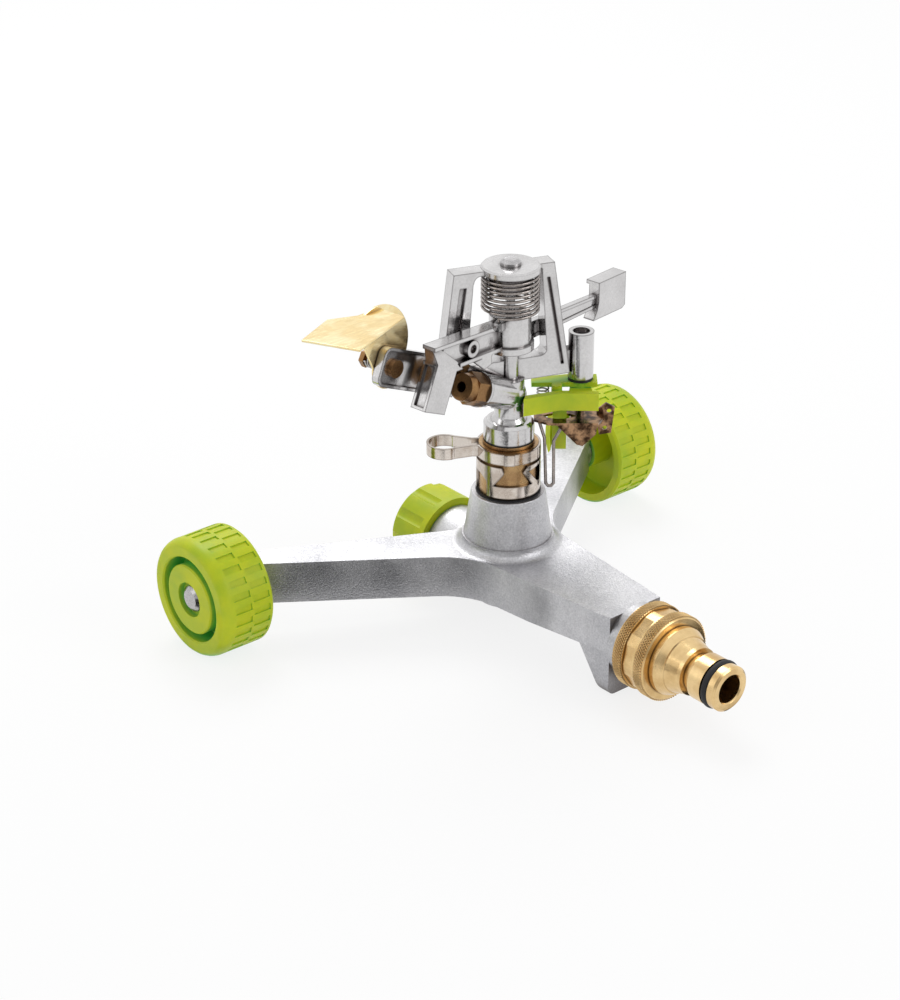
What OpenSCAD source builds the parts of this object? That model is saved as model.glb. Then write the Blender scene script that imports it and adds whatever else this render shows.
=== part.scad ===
// Sector sprinkler: an impact head that swings between two stop collars,
// on a three-armed cast base with two wheels and a click-on hose inlet.
// Z is up, the inlet points to -Y and the origin lies on the ground under the middle.

/* [Base casting] */
// Length of the inlet arm from the hub axis to its end face
inlet_arm_len = 62.5; // [52:0.5:80]
// Width of the inlet arm at its end face
inlet_arm_end_w = 22.4; // [20:0.2:28]
// Width of the inlet arm where it leaves the hub
inlet_arm_root_w = 35; // [30:0.5:38]
// Width of a wheel arm at the axle boss
wheel_arm_end_w = 8.4; // [7:0.2:13]
// Width of a wheel arm where it leaves the hub
wheel_arm_root_w = 22; // [18:0.5:28]
// Height of the flat top of the arms above the ground
arm_top_z = 29; // [27.5:0.5:31]
// Depth of the arms from top to bottom edge
arm_depth = 15; // [12:0.5:17]
// Radius of the concave blend between two arms
arm_blend_r = 26; // [12:1:32]
// Wall of the arms around their open undersides
arm_wall = 2.4; // [1.8:0.1:3]
// Radius of the rounded lower corners of the front foot
foot_corner_r = 3; // [1:0.5:5]
// Length of the foot's flat sole
foot_sole = 3.2; // [2:0.2:8]
// Height of the hub boss above the ground
boss_top_z = 48.5; // [44:0.5:52]
// Outer radius of the hub boss at its top
boss_top_r = 12.6; // [12:0.1:13]
// Outer radius of the hub boss at its foot
boss_foot_r = 15.6; // [14:0.1:17]
// Radius of the fillet around the foot of the hub boss
boss_fillet_r = 3.4; // [1.5:0.1:5]

/* [Water way] */
// Height of the inlet axis above the ground
inlet_z = 18; // [16.5:0.5:19]
// Radius of the water way through the casting
waterway_r = 7.6; // [6:0.1:8.5]
// Outer radius of the threaded inlet stub
stub_r = 12.35; // [12:0.05:12.6]
// Length of the threaded inlet stub
stub_len = 10; // [8:0.5:14]
// Outer radius of the rear neck
neck_r = 12.5; // [11.5:0.1:13]
// Distance from the hub axis to the shoulder of the rear neck
neck_reach = 28.4; // [24:0.2:34]

/* [End cap] */
// Outer radius of the green end cap
cap_r = 15; // [14.2:0.1:16]
// Length of the end cap
cap_len = 16; // [13:0.5:20]
// Wall of the end cap at its closed end
cap_floor = 2.6; // [1.8:0.1:4]
// Number of grip flutes on the end cap
cap_flutes = 10; // [6:1:14]
// Depth of a grip flute
cap_flute_depth = 0.9; // [0.4:0.1:1.3]

/* [Wheels] */
// Outer radius of a wheel
wheel_r = 20.8; // [18:0.1:24]
// Width of a wheel
wheel_w = 19.9; // [16:0.1:24]
// Distance of the wheels' middle planes from the hub axis
wheel_mid_x = 89; // [80:0.5:105]
// Distance of the axles behind the hub axis
axle_y = 47.7; // [40:0.5:60]
// Number of tread recesses around each row
tread_count = 28; // [16:1:32]
// Depth of a tread recess
tread_depth = 0.5; // [0.3:0.1:1.5]
// Width of a tread recess along the rim
tread_pocket_w = 2.3; // [1.2:0.1:2.6]
// Width of the smooth bevelled shoulder at the outer face
shoulder_w = 3.6; // [3:0.2:6]
// Fall of the bevelled shoulder towards the outer face
shoulder_fall = 2.4; // [1:0.2:5]
// Outer radius of the face groove
groove_outer_r = 15; // [14:0.2:16]
// Radius of the wheel hub inside the groove
wheel_hub_r = 12.2; // [8:0.1:12.6]
// Thickness of the web between the two face grooves
wheel_web = 3; // [2:0.2:5]

/* [Axles] */
// Radius of the axle bolt
axle_r = 3; // [2.5:0.1:3.5]
// Radius of the axle bolt's domed head
axle_head_r = 4.5; // [3.9:0.1:5]
// Height of the axle bolt's head
axle_head_h = 1.7; // [1.2:0.1:2]
// Thickness of the steel washer behind the wheel
washer_t = 0.7; // [0.4:0.1:1]
// Radius of the axle boss at the end of the arm
axle_boss_r = 6.4; // [5.5:0.1:7.5]

/* [Hose connector] */
// Outer radius of the union nut's knurled bands
nut_r = 14.45; // [14.2:0.05:16]
// Gap between the inlet arm's end face and the union nut
nut_start = 4.7; // [4.2:0.1:5.4]
// Length of the union nut
nut_len = 13.8; // [13:0.1:15]
// Length of each knurled band
nut_band = 4.2; // [3.4:0.1:4.6]
// Distance from the axis to the flats on the nut's waist
nut_flat_r = 13.5; // [13.2:0.05:13.8]
// Radius of the connector body in front of the nut
nipple_body_r = 11.7; // [11.4:0.05:11.9]
// Radius of the connector's nose, standard for click-on couplings
nose_r = 7.8; // [7.5:0.1:8]
// Length of the nose in front of the sealing ring
nose_len = 3; // [2.6:0.1:4.6]
// Radius of the catch groove
catch_r = 6.4; // [6:0.1:7]
// Radius of the water bore through the connector
nipple_bore_r = 4.8; // [4:0.1:5.2]
// Distance from the inlet arm's end face to the tip of the nose
nipple_reach = 43.4; // [42:0.2:50]

/* [Bearing] */
// Outer radius of the brass bearing tube
bearing_r = 10; // [9.6:0.1:10.4]
// Height of the bearing tube's top above the ground
bearing_top_z = 66.2; // [65:0.2:69]
// Depth of the bearing tube inside the hub
bearing_seat = 12.5; // [8:0.5:16]
// Outer radius of the turning stem inside the bearing tube
stem_r = 6.5; // [5.8:0.1:7]
// Radius of the water bore through the stem
stem_bore_r = 4.6; // [3.5:0.1:5]
// Thickness of the brass ring that rides on the bearing tube
ring_t = 1.1; // [0.8:0.1:2]

/* [Stop collars] */
// Height of the strip of a collar
strip_h = 4; // [3:0.2:4.4]
// Thickness of the strip
strip_t = 0.8; // [0.6:0.1:1]
// Reach of a collar's handle loop from the hub axis
loop_reach = 27.5; // [24:0.5:32]
// Outer radius of the round end of a handle loop
loop_end_r = 6; // [3:0.2:7]
// Height of the upper collar's lower edge
upper_collar_z = 62; // [61.6:0.1:62.2]
// Height of the lower collar's lower edge
lower_collar_z = 49.7; // [49.5:0.1:50.2]
// Height of the lower collar's gripping band
lower_collar_h = 11.2; // [10:0.2:11.6]
// Heading of the upper collar's handle
upper_handle_a = 141; // [130:1:160]
// Heading of the lower collar's handle
lower_handle_a = 45; // [40:1:70]

/* [Impact head] */
// Heading of the nozzle
head_yaw = 188; // [180:1:196]
// Rise of the jet above the horizontal
jet_rise = 24; // [22:0.5:26]
// Height at which the jet axis crosses the hub axis
jet_z = 83.3; // [83:0.1:84]
// Radius of the chrome sleeve
sleeve_r = 8.5; // [8:0.1:8.8]
// Height of the chrome sleeve
sleeve_h = 6.6; // [6:0.1:7]
// Radius of the neck above the sleeve
head_neck_r = 5; // [4.6:0.1:5.4]
// Radius of the nozzle boss
nozzle_boss_r = 5.5; // [5:0.1:6]
// Distance from the hub axis to the rim of the nozzle boss
nozzle_boss_len = 17.5; // [14:0.1:19]
// Width across the flats of the nozzle
nozzle_af = 9.8; // [9:0.1:10.4]
// Length of the nozzle in front of its boss
nozzle_len = 8.7; // [7:0.1:11]
// Radius of the nozzle's orifice
nozzle_bore_r = 1.8; // [1.2:0.1:2.4]

/* [Bridge] */
// Angle of the bridge's plane from the jet, seen from above
bridge_a = -28; // [-34:1:-26]
// Thickness of the bridge across its plane
bridge_t = 6; // [5:0.2:6.4]
// Height of the bridge's flat top
bridge_top_z = 128.7; // [126:0.1:132]
// Height of the bridge's lower edge
bridge_foot_z = 88.4; // [88:0.1:89]
// Height of the bridge's lower bar
bridge_bar_h = 7.8; // [6:0.2:8.4]
// Width of a bridge leg
leg_w = 7; // [6:0.2:8]
// Depth of the groove in a leg's faces
leg_groove = 1.2; // [0.6:0.1:1.6]
// Radius of the round cap over the spring
disc_r = 9.8; // [9.4:0.1:10.5]
// Thickness of the bridge between the spring and its top
crown_t = 1.6; // [1.2:0.1:2]

/* [Impact arm] */
// Radius of the fulcrum pin
pin_r = 1.6; // [1.3:0.1:2]
// Radius of the fulcrum pin's domed head
pin_head_r = 3.4; // [3:0.1:4]
// Height of the lower end of the arm's hub
arm_hub_z = 100.2; // [100:0.1:100.6]
// Height of the arm's hub
arm_hub_h = 12.3; // [11.5:0.1:12.6]
// Radius of the arm's hub
arm_hub_r = 7; // [6.4:0.1:7.4]
// Width of the arm's flanges
arm_flange_w = 5.2; // [4.4:0.1:5.6]
// Thickness of the arm's web
arm_web = 1.6; // [1.2:0.1:2.4]
// Length of the spoon along the jet
spoon_len = 10.2; // [9:0.2:12]
// Length of the spoon across the jet
spoon_h = 15.6; // [14:0.2:17]
// Distance of the counterweight's far edge from the hub axis
weight_reach = 58.3; // [54:0.1:64]
// Length of the counterweight plate
weight_len = 14.4; // [12:0.2:16]
// Thickness of the counterweight plate
weight_t = 4.4; // [3:0.2:5]

/* [Arm spring] */
// Diameter of the spring wire
spring_wire = 1; // [0.8:0.05:1.1]
// Radius of the spring to the middle of its wire
spring_r = 9.25; // [8.6:0.05:9.4]
// Number of curls
spring_turns = 8.375; // [6.375:0.125:8.375]

/* [Diffuser] */
// Height of the diffuser bracket across the jet
bracket_h = 13; // [11:0.2:14]
// Thickness of the diffuser bracket
bracket_t = 2.8; // [2.4:0.2:4]
// Distance from the hub axis to the diffuser's pivot along the jet
pivot_reach = 51; // [49:0.2:56]
// Thickness of the diffuser's sheet
sheet_t = 0.8; // [0.5:0.1:1]
// Height of the diffuser's wing above the ground
wing_z = 125.4; // [123:0.2:128]
// Radius of the diffuser's round lug
lug_r = 7.4; // [6.5:0.1:8]

/* [Trip gear] */
// Distance of the trip post from the hub axis, towards the side
post_x = 23.9; // [23.4:0.1:25]
// Distance of the trip post behind that line
post_y = 8.8; // [8:0.1:9.4]
// Radius of the trip post
post_r = 4.3; // [3.8:0.1:4.6]
// Height of the trip post's top
post_top_z = 102.3; // [98:0.1:103]
// Radius of the trip pin
trip_pin_r = 1.5; // [1.2:0.1:1.8]
// Height of the green lever's bar
lever_bar_h = 6.2; // [5:0.2:6.4]
// Thickness of the green lever's bar
lever_bar_t = 2.4; // [1.6:0.1:3]
// Thickness of the hammer's sheet
hammer_t = 0.8; // [0.6:0.1:1]
// Diameter of the trip wire
trip_wire_d = 1.1; // [0.8:0.1:1.4]

/* [Fits] */
// Play of a part that turns in or on another, on the radius
run_play = 0.05; // [0.03:0.01:0.09]
// Gap between faces that slide past each other
face_gap = 0.2; // [0.1:0.05:0.3]
// Play of the nut and the cap on their threads, on the radius
thread_play = 0.08; // [0.05:0.01:0.1]

/* [Hidden] */
$fn = 96;
eps = 0.01;

// Base, seen from the hub axis
wheel_arm_x = wheel_mid_x - wheel_w / 2 - face_gap - washer_t;
wheel_arm_len = norm([wheel_arm_x, axle_y]);
wheel_arm_a = atan2(axle_y, wheel_arm_x);
inlet_reach = inlet_arm_len + nipple_reach;
origin_y = (inlet_reach - axle_y - wheel_r) / 2;
foot_rise = 12.5;            // run of the foot's slanted back
climb_start = 27;
arm_climb = 1.8;            // rise of the inlet arm's lower edge
boss_drop = 6;              // hub below the arms' lower edge
hub_under_r = 10.4;
pipe_r = 10;                // wall of the water way under the inlet arm
axle_boss_len = 9;
pocket_start = 24;
// End cap
cap_start = neck_reach + 2 * face_gap;
neck_thread_r = neck_r - 0.9;
cap_gasket_t = 1.8;
neck_end = cap_start + cap_len - cap_floor - cap_gasket_t - face_gap;
flute_r = 2.8;
// Wheels
tread_floor_r = wheel_r - tread_depth;
tread_ring_r = tread_floor_r - 1.6;
inner_bevel = 0.8;
row_gap = 0.8;
row_w = (wheel_w - shoulder_w - inner_bevel - 3 * row_gap) / 2;
outer_groove = 8;
inner_groove = wheel_w - outer_groove - wheel_web;
inner_hub_r = 7.2;
inner_groove_r = tread_ring_r - 1.2;
head_recess = axle_head_h + 0.5;
head_recess_r = axle_head_r + 1.6;
edge = 0.5;                 // small bevels
// Hose connector, measured along the inlet from the arm's end face
gasket_t = 2;
flange_t = 2;
flange_start = stub_len + gasket_t;
nut_lip_z = flange_start + flange_t + face_gap - nut_start;
nut_waist = nut_len - 2 * nut_band - edge;
ring_groove = 3;
ring_wire_r = 1.35;
ring_groove_r = nose_r - 2.2;
stop_len = 5.8;
catch_len = 2.6;
nose_start = nipple_reach - nose_len;
stop_start = nose_start - ring_groove - stop_len;
catch_start = stop_start - catch_len;
step_r = nipple_body_r - 1.5;
filter_t = 0.6;
filter_depth = 8.5;
filter_end_r = 4;
// Bearing
tube_foot_z = boss_top_z - bearing_seat;
stem_flange_z = tube_foot_z + 2;
stem_flange_t = 2;
shoulder_z = tube_foot_z + 6.5;
stem_flange_r = stem_r + 1.6;
gasket_r = bearing_r + 1;
gasket_seat = 0.8;
ring_z = bearing_top_z + 2 * run_play;
sleeve_washer_t = 0.5;
sleeve_z = ring_z + ring_t + sleeve_washer_t;
ring_r = sleeve_r + 0.2;
sleeve_top_z = sleeve_z + sleeve_h;
stem_top_z = sleeve_top_z - 1.5;
// Stop collars
collar_r = bearing_r + run_play;
loop_centre = loop_reach - loop_end_r;
loop_slot = 2.4;            // half the slot where the strands leave the ring
lap_w = 3.6;
lap_t = 0.5;
lap_a = 89;
window_a = 193;
window_foot = 4.2;
window_half = 6.6;
window_waist = 3.2;
window_tip = 5;             // height of the waist above the window's foot
chevron_w = 2.1;
notch_w = 3;
top_strip = 1.2;
// Impact head, with X along the nozzle and Y to its left
head_bore_r = 4;
junction_r = head_neck_r + 0.8;
boss_rim = 1.2;
nozzle_shank_r = nozzle_boss_r - 1.6;
nozzle_shank = 5;
nozzle_face_r = nozzle_af / 2 - 0.4;
// Bridge, with X towards its left leg
bridge_shift = -1.4;        // plane of the bridge beside the hub axis
left_top = 20.2;
left_foot = 25.2;
right_top = 14.8;
right_foot = 20.9;
window_left = [13.2, 15.6];
window_right = [10.4, 12.6];
window_corner = 2.4;
bar_top_z = bridge_foot_z + bridge_bar_h;
crown_z = bridge_top_z - crown_t;
disc_top_z = bridge_top_z + 0.6;
crown_boss_r = 7.4;
stub_post_r = 3.1;
arm_washer_t = 0.9;
stub_top_z = arm_hub_z - arm_washer_t - run_play;
pin_foot_z = bridge_foot_z + 3;
// Impact arm
arm_hub_top = arm_hub_z + arm_hub_h;
flange_r = arm_hub_r + 1;
arm_foot_z = arm_hub_z + 2;
arm_peak_z = arm_hub_z + 13;
arm_root_z = arm_hub_z + 10.7;         // top of the upper flange at the hub
flange_h = 1.4;
arm_tip_x = 39.5;
spoon_start = 34.3;
spoon_foot = -9.4;
spoon_w = 6.2;
spoon_side = -3.5;          // side of the spoon towards the diffuser
spoon_wall = 1.1;
spoon_recess = 0.8;
eye_x = 21;
eye_z = 107;
eye_r = 2.9;
eye_hole_r = 1.4;
weight_foot_z = 97;
weight_top_z = 110;
// Arm spring
rings_per_curl = 8;
wire_sides = 6;
spring_foot_z = arm_hub_top + face_gap;
crown_boss_h = (crown_z - arm_hub_top) / 3;
spring_pitch = (crown_z - spring_foot_z - 2 * spring_wire) / spring_turns;
spring_foot_a = 180 + bridge_a - 360 * spring_turns;
// Diffuser
pivot_across = 1.3;
bracket_y = -8;
bracket_start = 19;
bracket_end = pivot_reach + 7.3;
bracket_corner = 3;
bracket_rim = 1.1;
bracket_pocket = 30;
pivot_x = pivot_reach * cos(jet_rise) - pivot_across * sin(jet_rise);
pivot_z = jet_z + pivot_reach * sin(jet_rise) + pivot_across * cos(jet_rise);
ear_y = bracket_y - bracket_t - face_gap;
screw_r = 1.5;
screw_head_r = 3;
screw_head_t = 1.4;
screw_recess = 1;
screw_len = 13.4;
nut_t = 1.8;
diffuser_wire = 0.7;
diffuser_coil_r = screw_r + 0.8;
diffuser_turns = 6;
wing_x = 49.4;
ear_r = 14;
// Trip gear, with X to the side and Y to the back of the head
trip_a = 180 + bridge_a - atan2(post_y, post_x);
post_foot_z = 86;
trip_washer_t = 1;
lever_top_z = post_foot_z - trip_washer_t - 2 * run_play;
lever_plate_t = 1.6;
lever_bar_z = sleeve_top_z + 3.3;
lever_web_z = lever_bar_z + 2.7;
lever_web_t = 2.5;
lever_hub_r = 3.4;
blade_w = 4.6;
blade_t = 1;
slot_half_l = 5.6;          // half the hammer's slot
slot_half_w = 2.4;
blade_x = 16.9;
blade_y = 1.6;
blade_foot_z = 62.6;
hammer_z = 73.8;
hammer_hub_r = 3.2;
hammer_hub_h = 5;
trip_pin_foot_z = hammer_z - hammer_hub_h - 2 * run_play;
trip_pin_head_t = 1;
trip_wire_y = -1;
trip_wire_foot_z = 49.9;
trip_coil_wire = 0.6;
trip_coil_r = 1.9;
trip_coil_turns = 2.5;
trip_coil_h = 4;
trip_coil = [11.4, 7.4];

function unit(v) = v / norm(v);
function heading(a) = [cos(a), sin(a)];
function side(a) = [-sin(a), cos(a)];
function meet(p, u, q, v) = p + u * cross(q - p, v) / cross(u, v);

// Points of a coil whose ends run straight along its axis for one wire
function coil_rings(turns) = round(turns * rings_per_curl);
function coil_path(r, wire, pitch, turns) = let(n = coil_rings(turns), step = 360 / rings_per_curl)
    concat([[r, 0, 0]],
        [for (i = [0:n]) [r, i * step, wire + pitch * i / rings_per_curl]],
        [[r, n * step, 2 * wire + pitch * turns]]);
function on_coil(p) = [p[0] * cos(p[1]), p[0] * sin(p[1]), p[2]];
function coil_gap(path, wire) = min([for (i = [1:len(path) - rings_per_curl - 1])
    for (j = [i + rings_per_curl - 1:min(i + rings_per_curl + 1, len(path) - 2)])
    norm(on_coil(path[i]) - on_coil(path[j]))]) - wire;

module tube(r_out, r_in, h) {
    difference() {
        cylinder(r = r_out, h = h);
        translate([0, 0, -1]) cylinder(r = r_in, h = h + 2);
    }
}

// One unbroken wire wound along +Z, a ring of wire_sides points at each step
module coil(r, wire, pitch, turns) {
    path = coil_path(r, wire, pitch, turns);
    last = len(path) - 1;
    echo(least_self_gap = coil_gap(path, wire));
    points = [for (i = [0:last]) let(
        p = on_coil(path[i]),
        t = unit(on_coil(path[min(i + 1, last)]) - on_coil(path[max(i - 1, 0)])),
        out = [cos(path[i][1]), sin(path[i][1]), 0],
        across = cross(t, out))
        for (k = [0:wire_sides - 1]) let(a = k * 360 / wire_sides)
            p + wire / 2 * (cos(a) * out + sin(a) * unit(across))];
    sides = [for (i = [0:last - 1]) for (k = [0:wire_sides - 1]) let(
        a = i * wire_sides + k, b = i * wire_sides + (k + 1) % wire_sides)
        each [[a, b, b + wire_sides], [a, b + wire_sides, a + wire_sides]]];
    foot = [for (k = [1:wire_sides - 2]) [0, k + 1, k]];
    top = [for (k = [1:wire_sides - 2]) [0, k, k + 1] + last * wire_sides * [1, 1, 1]];
    polyhedron(points, concat(foot, sides, top));
}

// A straight piece of round wire, a touch thicker at its bent ends
module rod(p, q, r) {
    length = norm(q - p);
    translate(p) {
        rotate([0, acos((q - p)[2] / length), atan2((q - p)[1], (q - p)[0])]) cylinder(r = r, h = length);
        sphere(r = r * 1.04);
    }
    translate(q) sphere(r = r * 1.04);
}

module on_ground() { translate([0, origin_y, 0]) children(); }
module in_head() { on_ground() rotate([0, 0, head_yaw]) children(); }
module along_jet() { translate([0, 0, jet_z]) rotate([0, -jet_rise, 0]) children(); }
module in_bridge() { rotate([0, 0, bridge_a]) translate([0, bridge_shift, 0]) children(); }
module at_trip() { in_head() rotate([0, 0, trip_a]) children(); }
module upright(t) { rotate([90, 0, 0]) translate([0, 0, -t / 2]) linear_extrude(t) children(); }
// Z runs out of the inlet, or out of the rear port
module at_inlet(reach) { on_ground() translate([0, -reach, inlet_z]) rotate([90, 0, 0]) children(); }
module at_port(reach) { on_ground() translate([0, reach, inlet_z]) rotate([-90, 0, 0]) children(); }
module at_wheel(flip) {
    on_ground() mirror([flip, 0, 0]) translate([wheel_mid_x - wheel_w / 2, axle_y, wheel_r])
        rotate([0, 90, 0]) children();
}

// Base casting

module arm_plan(a, length, root, tip) {
    rotate(a) polygon([[0, -root / 2], [length, -tip / 2], [length, tip / 2], [0, root / 2]]);
}

// Concave blend between the left edge of arm p and the right edge of arm q;
// an arm is [heading, length, root width, tip width]
module arm_blend(p, q) {
    pa = side(p[0]) * p[2] / 2;
    pu = unit(heading(p[0]) * p[1] + side(p[0]) * p[3] / 2 - pa);
    qa = -side(q[0]) * q[2] / 2;
    qu = unit(heading(q[0]) * q[1] - side(q[0]) * q[3] / 2 - qa);
    corner = meet(pa, pu, qa, qu);
    half = acos(pu * qu) / 2;
    centre = corner + unit(pu + qu) * arm_blend_r / sin(half);
    run = arm_blend_r / tan(half);
    difference() {
        polygon([[0, 0], corner + pu * run, centre, corner + qu * run]);
        translate(centre) circle(r = arm_blend_r, $fn = 160);
    }
}

module arms_plan() {
    inlet = [-90, inlet_arm_len, inlet_arm_root_w, inlet_arm_end_w];
    right = [wheel_arm_a, wheel_arm_len, wheel_arm_root_w, wheel_arm_end_w];
    left = [180 - wheel_arm_a, wheel_arm_len, wheel_arm_root_w, wheel_arm_end_w];
    intersection() {
        for (arm = [inlet, right, left]) arm_plan(arm[0], arm[1], arm[2], arm[3]);
        square([2 * wheel_arm_x, 4 * wheel_arm_x], center = true);
    }
    arm_blend(inlet, right);
    arm_blend(right, left);
    arm_blend(left, inlet);
}

module foot() {
    back = arm_top_z - arm_depth + arm_climb + edge;
    intersection() {
        rotate([90, 0, 90]) translate([0, 0, -inlet_arm_end_w / 2]) linear_extrude(inlet_arm_end_w)
            polygon([[-inlet_arm_len, 0], [-inlet_arm_len + foot_sole, 0],
                [-inlet_arm_len + foot_sole + 1.2, 0.7],
                [-inlet_arm_len + foot_sole + foot_rise, back], [-inlet_arm_len, back]]);
        translate([0, 0, 0]) rotate([90, 0, 0]) linear_extrude(inlet_arm_len + 1) {
            translate([-inlet_arm_end_w / 2, foot_corner_r]) square([inlet_arm_end_w, arm_top_z]);
            translate([-inlet_arm_end_w / 2 + foot_corner_r, 0])
                square([inlet_arm_end_w - 2 * foot_corner_r, arm_top_z]);
            for (s = [-1, 1]) translate([s * (inlet_arm_end_w / 2 - foot_corner_r), foot_corner_r])
                circle(r = foot_corner_r);
        }
    }
}

module hub_boss() {
    rise = boss_top_z - arm_top_z;
    translate([0, 0, arm_top_z - edge]) cylinder(r1 = boss_foot_r, r2 = boss_top_r, h = rise);
    translate([0, 0, boss_top_z - edge]) cylinder(r1 = boss_top_r, r2 = boss_top_r - edge / 2, h = edge);
    translate([0, 0, arm_top_z]) rotate_extrude() difference() {
        translate([boss_foot_r - 2, 0]) square([boss_fillet_r + 2, boss_fillet_r]);
        translate([boss_foot_r + boss_fillet_r, boss_fillet_r]) circle(r = boss_fillet_r);
    }
}

module arm_pocket(a) {
    depth = arm_depth - arm_wall;
    translate([0, 0, arm_top_z - arm_depth - 1]) linear_extrude(depth + 1) intersection() {
        arm_plan(a, wheel_arm_len, wheel_arm_root_w - 2 * arm_wall, wheel_arm_end_w - 2 * arm_wall);
        rotate(a) translate([pocket_start, -wheel_arm_root_w])
            square([wheel_arm_len - pocket_start - axle_boss_len - 4, 2 * wheel_arm_root_w]);
    }
}

module base_casting() color("silver") {
    difference() {
        union() {
            on_ground() {
                difference() {
                    translate([0, 0, arm_top_z - arm_depth]) linear_extrude(arm_depth) arms_plan();
                    // the inlet arm's lower edge climbs towards the foot
                    rotate([90, 0, 90]) translate([0, 0, -inlet_arm_root_w]) linear_extrude(2 * inlet_arm_root_w)
                        polygon([[-inlet_arm_len - 1, arm_top_z - arm_depth - 1], [-climb_start, arm_top_z - arm_depth - 1],
                            [-climb_start, arm_top_z - arm_depth], [-inlet_arm_len - 1, arm_top_z - arm_depth + arm_climb]]);
                }
                foot();
                hub_boss();
                translate([0, 0, arm_top_z - arm_depth - boss_drop])
                    cylinder(r = hub_under_r, h = arm_depth + boss_drop - 1);
                for (s = [-1, 1]) translate([s * (wheel_arm_x - axle_boss_len / 2), axle_y, wheel_r])
                    rotate([0, 90, 0]) cylinder(r = axle_boss_r, h = axle_boss_len, center = true);
            }
            at_inlet(0) cylinder(r = pipe_r, h = inlet_arm_len);
            at_inlet(inlet_arm_len) cylinder(r = stub_r, h = stub_len - edge);
            at_inlet(inlet_arm_len) cylinder(r = stub_r - edge, h = stub_len);
            at_port(0) cylinder(r = neck_r, h = neck_reach);
            at_port(0) cylinder(r = neck_thread_r, h = neck_end);
        }
        at_inlet(-neck_end - 1) cylinder(r = waterway_r, h = inlet_arm_len + stub_len + neck_end + 2);
        on_ground() {
            translate([0, 0, inlet_z]) cylinder(r = waterway_r, h = boss_top_z);
            translate([0, 0, tube_foot_z]) cylinder(r = bearing_r, h = boss_top_z);
            translate([0, 0, boss_top_z - gasket_seat]) cylinder(r = gasket_r, h = gasket_seat + 1);
            arm_pocket(wheel_arm_a);
            arm_pocket(180 - wheel_arm_a);
            for (s = [0, 1]) mirror([s, 0, 0]) translate([wheel_arm_x - axle_boss_len, axle_y, wheel_r])
                rotate([0, 90, 0]) cylinder(r = axle_r, h = axle_boss_len + 1);
        }
    }
}

module end_cap() color("yellowgreen") at_port(cap_start) difference() {
    union() {
        cylinder(r = cap_r, h = cap_len - 1);
        translate([0, 0, cap_len - 1]) cylinder(r1 = cap_r, r2 = cap_r - 1, h = 1);
    }
    translate([0, 0, -1]) cylinder(r = neck_thread_r + thread_play, h = cap_len - cap_floor + 1);
    for (i = [0:cap_flutes - 1]) rotate(i * 360 / cap_flutes)
        translate([cap_r + flute_r - cap_flute_depth, 0, 2.4]) cylinder(r = flute_r, h = cap_len, $fn = 48);
}

module cap_gasket() color("dimgray") at_port(neck_end)
    cylinder(r = neck_thread_r - edge, h = cap_gasket_t);

// Wheels and axles

// Cutters for one row of recesses around the rim
module tread_row(turn) {
    linear_extrude(row_w) for (i = [0:tread_count - 1]) rotate(turn + i * 360 / tread_count)
        translate([tread_floor_r, -tread_pocket_w / 2]) square([2 * tread_depth + 1, tread_pocket_w]);
}

module wheel() {
    first = inner_bevel + row_gap;
    second = first + row_w + row_gap;
    difference() {
        rotate_extrude($fn = 120) polygon([
            [axle_r + run_play, 0], [inner_hub_r, 0], [inner_hub_r, inner_groove],
            [inner_groove_r, inner_groove], [inner_groove_r, 0], [wheel_r - inner_bevel, 0],
            [wheel_r, inner_bevel], [wheel_r, wheel_w - shoulder_w],
            [wheel_r - 0.12 * shoulder_fall, wheel_w - 0.62 * shoulder_w],
            [wheel_r - 0.36 * shoulder_fall, wheel_w - 0.3 * shoulder_w],
            [wheel_r - 0.66 * shoulder_fall, wheel_w - 0.08 * shoulder_w],
            [wheel_r - shoulder_fall, wheel_w], [groove_outer_r + edge, wheel_w],
            [groove_outer_r, wheel_w - edge], [groove_outer_r, wheel_w - outer_groove],
            [wheel_hub_r, wheel_w - outer_groove], [wheel_hub_r, wheel_w - edge],
            [wheel_hub_r - edge, wheel_w], [head_recess_r, wheel_w],
            [head_recess_r, wheel_w - head_recess], [axle_r + run_play, wheel_w - head_recess]]);
        translate([0, 0, first]) tread_row(0);
        translate([0, 0, second]) tread_row(180 / tread_count);
    }
}

module axle() {
    seat = wheel_w - head_recess + face_gap;
    shank = washer_t + face_gap + axle_boss_len;
    translate([0, 0, -shank]) cylinder(r = axle_r, h = shank + seat);
    translate([0, 0, seat]) cylinder(r = axle_head_r, h = axle_head_h / 2);
    translate([0, 0, seat + axle_head_h / 2])
        cylinder(r1 = axle_head_r, r2 = axle_head_r - 1.2, h = axle_head_h / 2);
}

module axle_washer() translate([0, 0, -face_gap - washer_t]) tube(axle_boss_r - edge, axle_r, washer_t);

module left_wheel() color("yellowgreen") at_wheel(1) wheel();
module right_wheel() color("yellowgreen") at_wheel(0) wheel();
module left_axle() color("lightgray") at_wheel(1) axle();
module right_axle() color("lightgray") at_wheel(0) axle();
module left_washer() color("silver") at_wheel(1) axle_washer();
module right_washer() color("silver") at_wheel(0) axle_washer();

// Hose connector

module hose_nut() color("goldenrod") at_inlet(inlet_arm_len + nut_start) difference() {
    union() {
        cylinder(r = nut_r, h = nut_band);
        intersection() {
            cylinder(r = nut_r - edge, h = nut_len - edge);
            rotate(11) cylinder(r = nut_flat_r / cos(22.5), h = nut_len, $fn = 8);
        }
        translate([0, 0, nut_band + nut_waist]) cylinder(r = nut_r, h = nut_band);
        translate([0, 0, nut_len - edge]) cylinder(r1 = nut_r, r2 = nut_r - edge, h = edge);
    }
    translate([0, 0, -1]) cylinder(r = stub_r + thread_play, h = nut_lip_z + 1);
    cylinder(r = nipple_body_r + run_play, h = nut_len + 1);
}

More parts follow.
